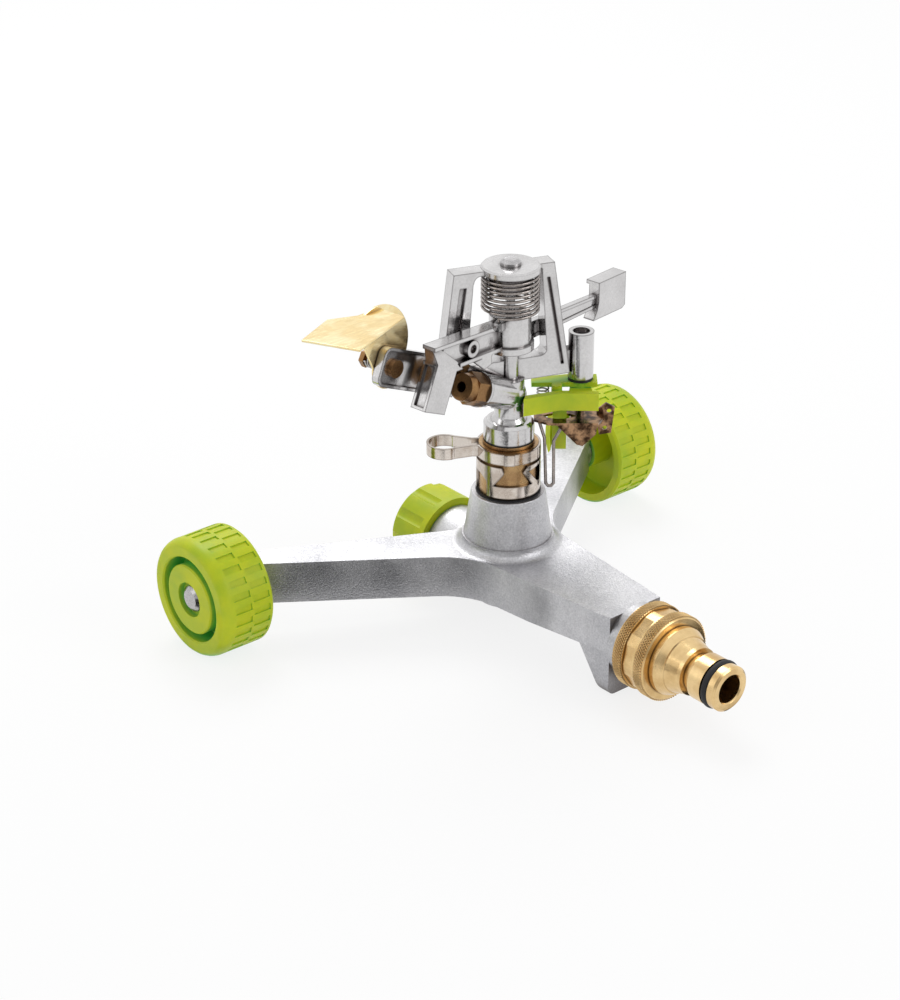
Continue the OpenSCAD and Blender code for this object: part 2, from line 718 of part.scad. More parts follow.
module hose_gasket() color("dimgray") at_inlet(inlet_arm_len + stub_len)
    tube(stub_r - edge, waterway_r + filter_t + 0.1, gasket_t);

module inlet_filter() color("gainsboro") at_inlet(inlet_arm_len + stub_len) difference() {
    union() {
        cylinder(r = waterway_r + filter_t, h = filter_t);
        translate([0, 0, -filter_depth])
            cylinder(r1 = filter_end_r, r2 = waterway_r - 1, h = filter_depth + filter_t / 2);
    }
    translate([0, 0, filter_t - filter_depth])
        cylinder(r1 = filter_end_r - filter_t, r2 = waterway_r - 1 - filter_t, h = filter_depth);
}

module hose_nipple() color("goldenrod") at_inlet(inlet_arm_len) {
    front = nut_start + nut_len + 2;
    rotate_extrude() polygon([
        [nipple_bore_r, flange_start], [stub_r, flange_start], [stub_r, flange_start + flange_t],
        [nipple_body_r, flange_start + flange_t], [nipple_body_r, front],
        [step_r, front + 2.6], [step_r - edge, front + 2.8],
        [nose_r + 0.6, catch_start - 1.4], [nose_r + 0.4, catch_start], [catch_r, catch_start],
        [catch_r, stop_start], [nose_r + 0.2, stop_start + edge], [nose_r + 0.2, nose_start - ring_groove],
        [ring_groove_r, nose_start - ring_groove], [ring_groove_r, nose_start], [nose_r, nose_start],
        [nose_r, nipple_reach - 0.7], [nose_r - 0.8, nipple_reach], [nipple_bore_r + 0.4, nipple_reach],
        [nipple_bore_r, nipple_reach - edge]]);
}

module nipple_oring() color("black") at_inlet(inlet_arm_len + nose_start - ring_groove / 2)
    rotate_extrude() translate([ring_groove_r + ring_wire_r, 0]) circle(r = ring_wire_r, $fn = 32);

// Bearing and stop collars

module bearing_tube() color("darkgoldenrod") on_ground() difference() {
    translate([0, 0, tube_foot_z]) cylinder(r = bearing_r, h = bearing_top_z - tube_foot_z);
    translate([0, 0, tube_foot_z - 1]) cylinder(r = stem_flange_r + run_play, h = shoulder_z - tube_foot_z + 1);
    translate([0, 0, tube_foot_z]) cylinder(r = stem_r + run_play, h = bearing_top_z);
}

module boss_gasket() color("black") on_ground() translate([0, 0, boss_top_z - gasket_seat])
    tube(gasket_r, bearing_r, gasket_seat + 0.4);

module collar_plan() {
    out = loop_slot + strip_t;
    fork = bearing_r + 2.4;
    difference() {
        union() {
            circle(r = collar_r + strip_t);
            polygon([[bearing_r, -out], [fork, -out], [loop_centre, -loop_end_r],
                [loop_centre, loop_end_r], [fork, out], [bearing_r, out]]);
            translate([loop_centre, 0]) circle(r = loop_end_r, $fn = 64);
        }
        circle(r = collar_r);
        polygon([[0, -loop_slot], [fork, -loop_slot], [loop_centre, strip_t - loop_end_r],
            [loop_centre, loop_end_r - strip_t], [fork, loop_slot], [0, loop_slot]]);
        translate([loop_centre, 0]) circle(r = loop_end_r - strip_t, $fn = 64);
    }
}

module upper_collar() color("gainsboro") on_ground() translate([0, 0, upper_collar_z])
    rotate(upper_handle_a) {
        linear_extrude(strip_h) collar_plan();
        rotate(lap_a) intersection() {
            tube(collar_r + strip_t + lap_t, collar_r + strip_t / 2, strip_h);
            translate([0, -lap_w / 2, 0]) cube([2 * bearing_r, lap_w, strip_h]);
        }
    }

// Outline of the right notch, which leaves a bent strip beside the window
module notch(h) {
    polygon([[window_waist + chevron_w, window_tip], [window_half + chevron_w, h - top_strip],
        [window_half + notch_w, h - top_strip], [window_half + notch_w, 0], [window_half + chevron_w, 0]]);
}

// Outline of the left notch, which is open below
module open_notch() {
    side = -window_half - 1.8;
    polygon([[side, -window_foot - 1], [side, 1], [side - 1.8, 3.2], [-bearing_r - 2, 3.2],
        [-bearing_r - 2, -window_foot - 1]]);
}

module lower_collar() color("gainsboro") on_ground() translate([0, 0, lower_collar_z])
    rotate(lower_handle_a) {
        h = lower_collar_h - window_foot;
        difference() {
            union() {
                tube(collar_r + strip_t, collar_r, lower_collar_h - strip_h);
                translate([0, 0, lower_collar_h - strip_h]) linear_extrude(strip_h) collar_plan();
            }
            rotate([90, 0, window_a + 90]) translate([0, window_foot, 0]) linear_extrude(2 * bearing_r) {
                polygon([[-window_half, 0], [window_half, 0], [window_waist, window_tip],
                    [window_waist + 2.4, h + 1], [-window_waist - 1, h + 1], [-window_waist, window_tip]]);
                notch(h);
                open_notch();
            }
        }
    }

module bearing_stem() color("darkgoldenrod") in_head() difference() {
    translate([0, 0, stem_flange_z]) {
        cylinder(r = stem_r, h = stem_top_z - stem_flange_z);
        cylinder(r = stem_flange_r, h = stem_flange_t);
    }
    translate([0, 0, stem_flange_z - 1]) cylinder(r = stem_bore_r, h = stem_top_z);
}

module thrust_washer() color("black") in_head() translate([0, 0, stem_flange_z + stem_flange_t])
    tube(stem_flange_r, stem_r, shoulder_z - stem_flange_z - stem_flange_t - run_play);

module bearing_ring() color("darkgoldenrod") in_head() translate([0, 0, ring_z]) tube(ring_r, stem_r, ring_t);

module sleeve_washer() color("black") in_head() translate([0, 0, ring_z + ring_t])
    tube(sleeve_r - 0.1, stem_r, sleeve_washer_t);

// Impact head

module bridge_plan() {
    difference() {
        polygon([[left_top, bridge_top_z], [left_foot, bridge_foot_z], [-right_foot, bridge_foot_z],
            [-right_top, bridge_top_z]]);
        difference() {
            polygon([[window_left[0], crown_z], [window_left[1], bar_top_z], [-window_right[1], bar_top_z],
                [-window_right[0], crown_z]]);
            // round the lower corners and thicken the upper ones outside the spring
            translate([window_left[1], bar_top_z]) corner_fill(-1);
            translate([-window_right[1], bar_top_z]) corner_fill(1);
            translate([window_left[0], crown_z - window_corner]) difference() {
                translate([-window_corner, 0]) square(window_corner + 1);
                translate([-window_corner, 0]) circle(r = window_corner, $fn = 48);
            }
        }
    }
}

// Fills the corner at the origin between the bar and a leg, open towards s in X
module corner_fill(s) {
    difference() {
        translate([s > 0 ? -1 : -window_corner, 0]) square([window_corner + 1, window_corner]);
        translate([s * window_corner, window_corner]) circle(r = window_corner, $fn = 48);
    }
}

// A groove along a leg, parallel to its outer edge, in both faces
module leg_grooves() {
    for (s = [-1, 1]) translate([0, s * bridge_t / 2, 0]) upright(2 * leg_groove) {
        polygon([[left_top - 4.4, bridge_top_z - 5], [left_foot - 5.6, bar_top_z],
            [left_foot - 3.4, bar_top_z], [left_top - 2.2, bridge_top_z - 5]]);
        polygon([[1.6 - right_top, bridge_top_z - 5], [2.2 - right_foot, bar_top_z - 4],
            [3.2 - right_foot, bar_top_z - 4], [2.6 - right_top, bridge_top_z - 5]]);
    }
}

module bridge() {
    in_bridge() difference() {
        upright(bridge_t) bridge_plan();
        leg_grooves();
    }
    translate([0, 0, crown_z]) cylinder(r = disc_r, h = disc_top_z - crown_z - edge);
    // the boss that fills the spring's upper end
    translate([0, 0, crown_z - crown_boss_h]) cylinder(r = crown_boss_r, h = crown_boss_h + edge);
    translate([0, 0, disc_top_z - edge]) cylinder(r1 = disc_r, r2 = disc_r - edge, h = edge);
    translate([0, 0, bridge_foot_z]) cylinder(r = stub_post_r, h = stub_top_z - bridge_foot_z);
}

module trip_post() {
    reach = norm([post_x, post_y]);
    rotate([0, 0, 180 + bridge_a]) {
        translate([reach, 0, post_foot_z]) cylinder(r = post_r, h = post_top_z - post_foot_z, $fn = 64);
        translate([right_foot - leg_w, -bridge_t / 3 - bridge_shift, bridge_foot_z])
            cube([reach - right_foot + leg_w, bridge_t * 2 / 3, bridge_bar_h]);
    }
}

module diffuser_bracket() {
    along_jet() translate([0, bracket_y - bracket_t / 2, pivot_across]) difference() {
        upright(bracket_t) {
            translate([bracket_start, -bracket_h / 2]) square([bracket_end - bracket_start - bracket_corner, bracket_h]);
            translate([bracket_start, bracket_corner - bracket_h / 2])
                square([bracket_end - bracket_start, bracket_h - 2 * bracket_corner]);
            for (s = [-1, 1]) translate([bracket_end - bracket_corner, s * (bracket_h / 2 - bracket_corner)])
                circle(r = bracket_corner, $fn = 48);
        }
        translate([pivot_reach, bracket_t / 2 + 1, 0]) rotate([90, 0, 0])
            cylinder(r = screw_r, h = bracket_t + 2, $fn = 48);
        // the shallow pocket in the near face, inside a narrow rim
        translate([0, bracket_t / 2, 0]) upright(2 * screw_recess) {
            half = bracket_h / 2 - bracket_rim;
            corner = bracket_corner - bracket_rim;
            translate([bracket_pocket, -half]) square([bracket_end - bracket_pocket - bracket_corner, 2 * half]);
            translate([bracket_pocket, corner - half])
                square([bracket_end - bracket_pocket - bracket_rim, 2 * (half - corner)]);
            for (s = [-1, 1]) translate([bracket_end - bracket_corner, s * (half - corner)])
                circle(r = corner, $fn = 48);
        }
    }
}

module head_body() color("lightgray") in_head() difference() {
    union() {
        translate([0, 0, sleeve_z]) cylinder(r = sleeve_r, h = sleeve_h - 1);
        translate([0, 0, sleeve_top_z - 1]) cylinder(r1 = sleeve_r, r2 = sleeve_r - 1, h = 1);
        translate([0, 0, sleeve_top_z - 1]) cylinder(r1 = head_neck_r + 1.6, r2 = head_neck_r, h = 3);
        translate([0, 0, sleeve_top_z]) cylinder(r = head_neck_r, h = bridge_foot_z - sleeve_top_z + 1);
        translate([0, 0, jet_z]) sphere(r = junction_r);
        along_jet() rotate([0, 90, 0]) {
            cylinder(r = nozzle_boss_r, h = nozzle_boss_len);
            translate([0, 0, nozzle_boss_len - boss_rim]) cylinder(r = nozzle_boss_r + 0.4, h = boss_rim);
        }
        bridge();
        trip_post();
        diffuser_bracket();
    }
    translate([0, 0, sleeve_z - 1]) cylinder(r = stem_r, h = stem_top_z - sleeve_z + 1);
    translate([0, 0, sleeve_z]) cylinder(r = head_bore_r, h = jet_z - sleeve_z);
    along_jet() rotate([0, 90, 0]) {
        cylinder(r = head_bore_r - 1, h = nozzle_boss_len);
        translate([0, 0, nozzle_boss_len - nozzle_shank]) cylinder(r = nozzle_shank_r, h = nozzle_shank + 1);
    }
    translate([0, 0, pin_foot_z]) cylinder(r = pin_r, h = disc_top_z, $fn = 48);
    rotate([0, 0, 180 + bridge_a]) translate([norm([post_x, post_y]), 0, post_foot_z - 1])
        cylinder(r = trip_pin_r, h = post_top_z, $fn = 48);
    // the wider top of the post's bore
    rotate([0, 0, 180 + bridge_a]) translate([norm([post_x, post_y]), 0, post_top_z - 2])
        cylinder(r = post_r - 1.5, h = 3, $fn = 48);
}

module nozzle() color("darkgoldenrod") in_head() along_jet() rotate([0, 90, 0])
    translate([0, 0, nozzle_boss_len]) difference() {
        union() {
            translate([0, 0, -nozzle_shank]) cylinder(r = nozzle_shank_r, h = nozzle_shank + 1);
            cylinder(r = nozzle_af / 2 / cos(30), h = nozzle_len - 3, $fn = 6);
            translate([0, 0, nozzle_len - 3]) cylinder(r1 = nozzle_af / 2, r2 = nozzle_face_r, h = 3);
        }
        translate([0, 0, -nozzle_shank - 1]) cylinder(r = nozzle_bore_r, h = nozzle_len + nozzle_shank + 2, $fn = 48);
        translate([0, 0, -nozzle_shank - 1]) cylinder(r1 = head_bore_r - 1, r2 = nozzle_bore_r, h = nozzle_len);
    }

module fulcrum_pin() color("gray") in_head() {
    translate([0, 0, pin_foot_z]) cylinder(r = pin_r, h = disc_top_z - pin_foot_z, $fn = 48);
    translate([0, 0, disc_top_z]) {
        cylinder(r = pin_head_r, h = 1.1, $fn = 64);
        translate([0, 0, 1.1]) cylinder(r1 = pin_head_r, r2 = pin_head_r - 1.2, h = 1, $fn = 64);
    }
}

module arm_washer() color("white") in_head() translate([0, 0, stub_top_z])
    tube(stub_post_r + 0.6, pin_r, arm_washer_t);

// Impact arm

module arm_front() {
    low_end = arm_tip_x - 12.1;
    upright(arm_web) polygon([[arm_hub_r - 2, arm_foot_z], [arm_tip_x - 13, arm_foot_z + 1],
        [arm_tip_x - 6, arm_peak_z - 5], [arm_tip_x - 6, arm_peak_z - edge - 0.5],
        [arm_hub_r - 2, arm_root_z - edge - 0.5]]);
    upright(arm_flange_w) {
        polygon([[arm_hub_r - 1, arm_root_z - flange_h], [arm_tip_x, arm_peak_z - flange_h],
            [arm_tip_x, arm_peak_z], [arm_hub_r - 1, arm_root_z]]);
        polygon([[arm_hub_r - 1, arm_foot_z - edge], [low_end, arm_foot_z + 0.5],
            [low_end, arm_foot_z + flange_h + 0.5], [arm_hub_r - 1, arm_foot_z + flange_h - edge]]);
    }
    // the solid shoulder over the spoon, whose side leans back to the web
    intersection() {
        upright(2 * arm_flange_w) polygon([[arm_tip_x - 13.5, arm_foot_z - 0.4], [arm_tip_x - 10.6, arm_foot_z - 0.3],
            [arm_tip_x - 1.4, arm_foot_z + 4], [arm_tip_x - 0.7, arm_peak_z - 0.6], [arm_tip_x - 3.5, arm_peak_z - 1.2],
            [arm_tip_x - 8.4, arm_foot_z + 5.4], [arm_tip_x - 11.5, arm_foot_z + 2.5]]);
        along_jet() translate([spoon_start / 2, 0, spoon_foot + spoon_h]) rotate([90, 0, 90])
            linear_extrude(spoon_start) polygon([[-arm_flange_w / 2, -1.8], [spoon_side + spoon_w, -1.8],
                [spoon_side + spoon_w, 0], [arm_web / 2, 4.2], [arm_web / 2, 8], [-arm_flange_w / 2, 8]]);
    }
    translate([eye_x, 0, eye_z]) rotate([90, 0, 0])
        translate([0, 0, -arm_flange_w / 2]) cylinder(r = eye_r, h = arm_flange_w / 2 + arm_web / 2, $fn = 48);
    // the small wedge under the lower flange
    translate([0, arm_flange_w / 2 - edge, 0]) upright(2 * edge)
        polygon([[12, arm_foot_z], [20.6, arm_foot_z], [15.6, 98], [12, 98.8]]);
}

// A hollow box across the jet, open towards the nozzle and towards the diffuser's side
module spoon() {
    rim = spoon_wall;
    along_jet() translate([spoon_start, spoon_side, spoon_foot]) difference() {
        cube([spoon_len, spoon_w, spoon_h]);
        translate([-1, rim, rim]) cube([spoon_len - 1.2, spoon_w - 2 * rim, spoon_h - 3 * rim]);
        translate([2 * rim, -1, 2 * rim]) cube([spoon_len - 5 * rim, rim + 2, spoon_h - 5 * rim]);
        // the recessed far face
        translate([spoon_len - spoon_recess, rim, rim]) cube([2, spoon_w - 2 * rim, spoon_h - 2 * rim]);
    }
}

module arm_rear() {
    foot = arm_hub_z - 0.4;
    upright(arm_web) polygon([[2 - arm_hub_r, foot + 0.4], [weight_len - weight_reach, foot + 1],
        [weight_len - weight_reach, foot + 5.6], [2 - arm_hub_r, foot + 6.8]]);
    upright(arm_flange_w - 3) {
        polygon([[2 - arm_hub_r, foot + 0.4], [weight_len - weight_reach, foot + 1],
            [weight_len - weight_reach, foot + 2.2], [2 - arm_hub_r, foot + 1.6]]);
        polygon([[2 - arm_hub_r, foot + 5.6], [weight_len - weight_reach, foot + 4.4],
            [weight_len - weight_reach, foot + 5.6], [2 - arm_hub_r, foot + 6.8]]);
    }
    upright(weight_t) polygon([[-weight_reach, weight_foot_z + 1], [-weight_reach, weight_top_z],
        [weight_len - weight_reach, weight_top_z], [weight_len - weight_reach, weight_foot_z + 6],
        [weight_len - weight_reach + 0.8, weight_foot_z + 3], [weight_len - weight_reach + 2.8, weight_foot_z],
        [1.6 - weight_reach, weight_foot_z]]);
    translate([-weight_reach, -weight_t / 2 - 1.2, weight_top_z - 1.4]) cube([weight_len, weight_t + 1.2, 1.4]);
}

module impact_arm() color("lightgray") in_head() difference() {
    union() {
        translate([0, 0, arm_hub_z]) cylinder(r = arm_hub_r, h = arm_hub_h);
        translate([0, 0, arm_hub_z]) cylinder(r = flange_r, h = 2.4);
        arm_front();
        spoon();
        arm_rear();
        // the seat of the spring's lower end
        rotate([0, 0, spring_foot_a]) translate([arm_hub_r - 1, -1.4, arm_hub_top - 3])
            cube([spring_r + spring_wire - arm_hub_r + 1, 2.8, 3]);
    }
    translate([0, 0, arm_hub_z - 1]) cylinder(r = pin_r + run_play, h = arm_hub_h + 2, $fn = 48);
    translate([eye_x, 0, eye_z]) rotate([90, 0, 0]) cylinder(r = eye_hole_r, h = 2 * arm_flange_w, center = true, $fn = 48);
}

module arm_spring() color("silver") in_head() translate([0, 0, spring_foot_z])
    rotate([0, 0, spring_foot_a]) coil(spring_r, spring_wire, spring_pitch, spring_turns);

// Diffuser

module diffuser_paddle() color("gold") in_head() {
    ear_top = wing_z + sheet_t;
    difference() {
        translate([0, ear_y - sheet_t / 2, 0]) upright(sheet_t) {
            translate([pivot_x, pivot_z]) circle(r = lug_r);
            intersection() {
                translate([pivot_x + 5, pivot_z + 8.2]) circle(r = ear_r, $fn = 128);
                polygon([[pivot_x - 10, pivot_z], [pivot_x - 10, ear_top + 2], [pivot_x + 5, ear_top + 2],
                    [pivot_x + 16, ear_top - 1], [pivot_x + 6.6, pivot_z]]);
            }
        }
        translate([pivot_x, ear_y + 1, pivot_z]) rotate([90, 0, 0])
            cylinder(r = screw_r + run_play, h = sheet_t + 2, $fn = 48);
    }
    translate([0, 0, wing_z]) linear_extrude(sheet_t) polygon([[wing_x, ear_y - sheet_t], [wing_x, -1.2],
        [wing_x + 28, 6.3], [wing_x + 34.3, -12.3], [wing_x + 17.6, -17.6], [wing_x + 9, ear_y - sheet_t - 1]]);
}

module at_pivot() { in_head() translate([pivot_x, bracket_y - screw_recess, pivot_z]) rotate([90, 0, 0]) children(); }

module diffuser_screw() color("dimgray") at_pivot() {
    translate([0, 0, 0]) cylinder(r = screw_r, h = screw_len, $fn = 48);
    mirror([0, 0, 1]) cylinder(r = screw_head_r, h = screw_head_t, $fn = 48);
}

coil_room = screw_len + screw_recess - bracket_t - 2 * face_gap - sheet_t - nut_t - 0.6;

module diffuser_spring() color("dimgray") in_head() translate([pivot_x, ear_y - sheet_t - face_gap, pivot_z])
    rotate([90, 0, 0]) coil(diffuser_coil_r, diffuser_wire,
        (coil_room - 2 * diffuser_wire) / diffuser_turns, diffuser_turns);

module diffuser_nut() color("dimgray") at_pivot() translate([0, 0, screw_len - nut_t - 0.6]) difference() {
    cylinder(r = screw_head_r, h = nut_t, $fn = 6);
    translate([0, 0, -1]) cylinder(r = screw_r, h = nut_t + 2, $fn = 48);
}

// Trip gear

module trip_lever() color("yellowgreen") at_trip() difference() {
    union() {
        translate([0, 0, lever_top_z - lever_plate_t]) linear_extrude(lever_plate_t)
            polygon([[7.5, 5.6], [29.5, 5.6], [29.5, 12.6], [21, 13], [7.5, 9.6]]);
        translate([0, 0, lever_bar_z]) linear_extrude(lever_bar_h) polygon([[4.6, -6], [16.8, -1.2],
            [29.6, -1.6], [29.6, lever_bar_t - 1.6], [16.4, lever_bar_t - 1.2], [5.4, lever_bar_t - 5.2]]);
        translate([0, 0, lever_web_z]) linear_extrude(lever_web_t)
            polygon([[19.5, -0.6], [28, -0.6], [27.2, post_y], [20.6, post_y]]);
        translate([15.9, 4.2, lever_web_z]) cylinder(r = 1.8, h = lever_top_z - lever_web_z, $fn = 48);
        translate([0, 0, lever_web_z]) linear_extrude(lever_web_t) polygon([[14.6, -0.6], [17.7, -0.6], [17.7, 4.2], [14.1, 4.2]]);
        translate([15.2, 4.2, lever_top_z - lever_plate_t]) cube([2, 3, lever_plate_t]);
        translate([post_x, post_y, lever_web_z]) cylinder(r = lever_hub_r, h = lever_top_z - lever_web_z, $fn = 64);
        // the tang that hangs through the hammer's slot
        translate([blade_x - blade_w / 2, blade_y - blade_t / 2, blade_foot_z])
            cube([blade_w, blade_t, lever_bar_z - blade_foot_z + 1]);
        translate([blade_x - blade_w / 2, 0, lever_bar_z]) cube([blade_w, blade_y + blade_t / 2, 1.4]);
    }
    translate([post_x, post_y, lever_web_z - 1]) cylinder(r = trip_pin_r + run_play, h = lever_top_z, $fn = 48);
}

module lens(half_l, half_w) {
    r = (half_l * half_l + half_w * half_w) / (2 * half_w);
    intersection_for(s = [-1, 1]) translate([0, s * (r - half_w)]) circle(r = r, $fn = 120);
}

module trip_hammer() color("saddlebrown") at_trip() {
    difference() {
        union() {
            translate([0, 0, hammer_z]) linear_extrude(hammer_t) polygon([[8.3, -1.4], [8.3, 2.8], [12, 6],
                [20.4, 10], [21.4, 12], [27, 12], [31.6, 7.4], [31.6, 0], [29.4, -4.4], [13, -4.4]]);
            translate([post_x, post_y, hammer_z - hammer_hub_h])
                cylinder(r = hammer_hub_r, h = hammer_hub_h, $fn = 64);
        }
        translate([post_x, post_y, hammer_z - hammer_hub_h - 1])
            cylinder(r = trip_pin_r + run_play, h = hammer_hub_h + 4, $fn = 48);
        translate([blade_x, blade_y, hammer_z - 1]) linear_extrude(hammer_t + 2) lens(slot_half_l, slot_half_w);
    }
    translate([0, -4.4 + hammer_t / 2, 0]) upright(hammer_t)
        polygon([[15, hammer_z + hammer_t], [29.4, hammer_z + hammer_t], [28.8, 70.6], [24.4, 66.2], [22.4, 66.8]]);
    difference() {
        translate([0, 4.4, 0]) upright(hammer_t)
            polygon([[29.2, 72], [30.4, 66.5], [34.4, 67.2], [35.4, 76.6], [32.4, 78.2], [29.4, 75.6]]);
        for (p = [[32.2, 69], [33.5, 75.2]]) translate([p[0], 4.4, p[1]]) rotate([90, 0, 0])
            cylinder(r = 0.8, h = 4 * hammer_t, center = true, $fn = 32);
    }
}

module trip_wire() color("gray") at_trip() {
    under = hammer_z - trip_wire_d / 2;
    for (leg = [[[10.2, under], [11.9, 67.7]], [[11.9, 67.7], [12.6, trip_wire_foot_z + 1]],
        [[12.6, trip_wire_foot_z + 1], [13.4, trip_wire_foot_z]],
        [[13.4, trip_wire_foot_z], [14.4, trip_wire_foot_z]],
        [[14.4, trip_wire_foot_z], [15.2, trip_wire_foot_z + 1]],
        [[15.2, trip_wire_foot_z + 1], [15, 66.6]], [[15, 66.6], [18.2, under]]])
        rod([leg[0][0], trip_wire_y, leg[0][1]], [leg[1][0], trip_wire_y, leg[1][1]], trip_wire_d / 2, $fn = 24);
}

module trip_pin() color("silver") at_trip() translate([post_x, post_y, trip_pin_foot_z]) {
    cylinder(r = trip_pin_r, h = post_top_z - 2 - trip_pin_foot_z, $fn = 48);
    mirror([0, 0, 1]) cylinder(r = trip_pin_r + 0.9, h = trip_pin_head_t, $fn = 48);
}

module trip_washer() color("black") at_trip() translate([post_x, post_y, post_foot_z - trip_washer_t])
    tube(post_r - 0.1, trip_pin_r, trip_washer_t);

module trip_spring() color("dimgray") at_trip()
    translate([trip_coil[0], trip_coil[1], lever_top_z - lever_plate_t - trip_coil_h])
        coil(trip_coil_r, trip_coil_wire, (trip_coil_h - 2 * trip_coil_wire) / trip_coil_turns, trip_coil_turns);

base_casting();
end_cap();
cap_gasket();
left_wheel();
right_wheel();
left_axle();
right_axle();
left_washer();
right_washer();
hose_nut();
hose_gasket();
inlet_filter();
hose_nipple();
nipple_oring();
bearing_tube();
boss_gasket();
upper_collar();
lower_collar();
bearing_stem();
thrust_washer();
bearing_ring();
sleeve_washer();
head_body();
nozzle();
fulcrum_pin();
arm_washer();
impact_arm();
arm_spring();
diffuser_paddle();
diffuser_screw();
diffuser_spring();
diffuser_nut();
trip_lever();
trip_hammer();
trip_wire();
trip_pin();
trip_washer();
trip_spring();
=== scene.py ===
"""A sector sprinkler on a wheeled cast base: finishes, wound springs, knurls and soft castings.

Lengths are metres in the solids' frame: X along the wheel axis, Y from hose inlet to wheels.
"""
from __future__ import annotations

import logging
import math
from dataclasses import dataclass, field
from enum import Enum
from typing import Callable, ClassVar, Iterable, Sequence

import bmesh
import bpy
from mathutils import Matrix, Vector

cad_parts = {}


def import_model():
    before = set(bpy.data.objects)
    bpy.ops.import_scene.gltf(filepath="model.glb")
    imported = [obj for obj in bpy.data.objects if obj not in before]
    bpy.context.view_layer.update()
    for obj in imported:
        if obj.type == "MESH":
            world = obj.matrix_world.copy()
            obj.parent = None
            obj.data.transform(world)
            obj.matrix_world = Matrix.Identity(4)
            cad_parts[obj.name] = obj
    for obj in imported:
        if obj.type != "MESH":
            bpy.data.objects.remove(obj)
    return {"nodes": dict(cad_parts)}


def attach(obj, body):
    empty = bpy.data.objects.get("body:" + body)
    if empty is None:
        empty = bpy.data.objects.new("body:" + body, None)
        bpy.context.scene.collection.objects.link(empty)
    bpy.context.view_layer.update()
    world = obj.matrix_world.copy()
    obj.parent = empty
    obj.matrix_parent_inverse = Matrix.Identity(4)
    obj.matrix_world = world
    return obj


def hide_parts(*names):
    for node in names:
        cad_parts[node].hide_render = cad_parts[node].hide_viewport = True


log = logging.getLogger("sprinkler")

Node = bpy.types.Node
NodeTree = bpy.types.NodeTree
Piece = bpy.types.Object
Socket = bpy.types.NodeSocket
Sockets = dict[str, Socket]
Colour = tuple[float, float, float]
Spot = tuple[float, float]
Point = tuple[float, float, float]

MM = 0.001
ORIGIN_Y = 18.7 * MM
HEAD_YAW = math.radians(188.0)
TRIP_TURN = math.radians(131.7)
MERGE_GAP = 2e-6
FLAT_ANGLE = math.radians(0.6)
EDGE_ANGLE = math.radians(38.0)
WHITE = (1.0, 1.0, 1.0)


class Axis(Enum):
    """A direction that a turned or brushed pattern runs round or along."""

    X = "X"
    Y = "Y"
    Z = "Z"


# Shader tools


@dataclass
class Canvas:
    """Adds nodes to one node tree and links them.

    Args:
        tree: the node tree of a material, a world or a group.
    """

    tree: NodeTree

    def node(
        self, kind: str, inputs: dict[str | int, object] | None = None, **settings: object
    ) -> Node:
        """Adds a node.

        Args:
            kind: the node's type name.
            inputs: socket names or numbers, each with a value or an output socket.
            settings: the node's own properties.

        Returns:
            The new node.
        """
        made = self.tree.nodes.new(kind)
        for key, value in settings.items():
            setattr(made, key, value)
        for key, value in (inputs or {}).items():
            self.feed(made.inputs[key], value)
        return made

    def feed(self, socket: Socket, value: object) -> None:
        """Links an output into a socket, or sets the socket's own value.

        Args:
            socket: the input socket.
            value: an output socket, or a plain value.
        """
        if isinstance(value, Socket):
            self.tree.links.new(value, socket)
        else:
            socket.default_value = value

    def maths(self, operation: str, *values: object) -> Socket:
        """Adds a math node.

        Args:
            operation: its operation.
            values: its inputs in order.

        Returns:
            Its output socket.
        """
        inputs = dict(enumerate(values))
        made = self.node("ShaderNodeMath", inputs, operation=operation)
        return made.outputs[0]

    def share(self, first: object, second: object, part: float) -> Socket:
        """Mixes two masks.

        Args:
            first: a mask.
            second: another mask.
            part: share of the first.

        Returns:
            The mixed mask.
        """
        rest = self.maths("MULTIPLY", second, 1.0 - part)
        return self.maths("MULTIPLY_ADD", first, part, rest)

    def noise(
        self, vector: object, scale: object, detail: float = 2.0, rough: float = 0.5
    ) -> Socket:
        """Adds a noise texture and gives its factor.

        Args:
            vector: the coordinates.
            scale: cells per metre.
            detail: its octaves.
            rough: how strong the fine octaves are.

        Returns:
            The factor socket.
        """
        inputs = {"Vector": vector, "Scale": scale, "Detail": detail, "Roughness": rough}
        return self.node("ShaderNodeTexNoise", inputs).outputs[0]

    def span(
        self, value: object, low: object, high: object, out_low: float = 0.0, out_high: float = 1.0
    ) -> Socket:
        """Maps one range of values onto another and holds it inside.

        Args:
            value: the value.
            low: start of the range.
            high: end of the range.
            out_low: result at the start.
            out_high: result at the end.

        Returns:
            The mapped value.
        """
        ends = {"From Min": low, "From Max": high, "To Min": out_low, "To Max": out_high}
        return self.node("ShaderNodeMapRange", {"Value": value, **ends}).outputs[0]

    def blend(self, factor: object, first: object, second: object) -> Socket:
        """Mixes two colours.

        Args:
            factor: share of the second colour.
            first: a colour.
            second: another colour.

        Returns:
            The mixed colour.
        """
        made = self.node("ShaderNodeMix", data_type="RGBA")
        colours = [s for s in made.inputs if s.type == "RGBA"]
        self.feed(made.inputs[0], factor)
        self.feed(colours[0], first)
        self.feed(colours[1], second)
        return next(s for s in made.outputs if s.type == "RGBA")


def rgba(colour: Colour) -> tuple[float, float, float, float]:
    """Makes a colour opaque."""
    return (*colour, 1.0)


def cleared(owner: bpy.types.Material | bpy.types.World) -> Canvas:
    """Empties the node tree of a material or a world.

    Args:
        owner: the material or the world.

    Returns:
        A canvas on its tree.
    """
    owner.use_nodes = True
    owner.node_tree.nodes.clear()
    return Canvas(owner.node_tree)


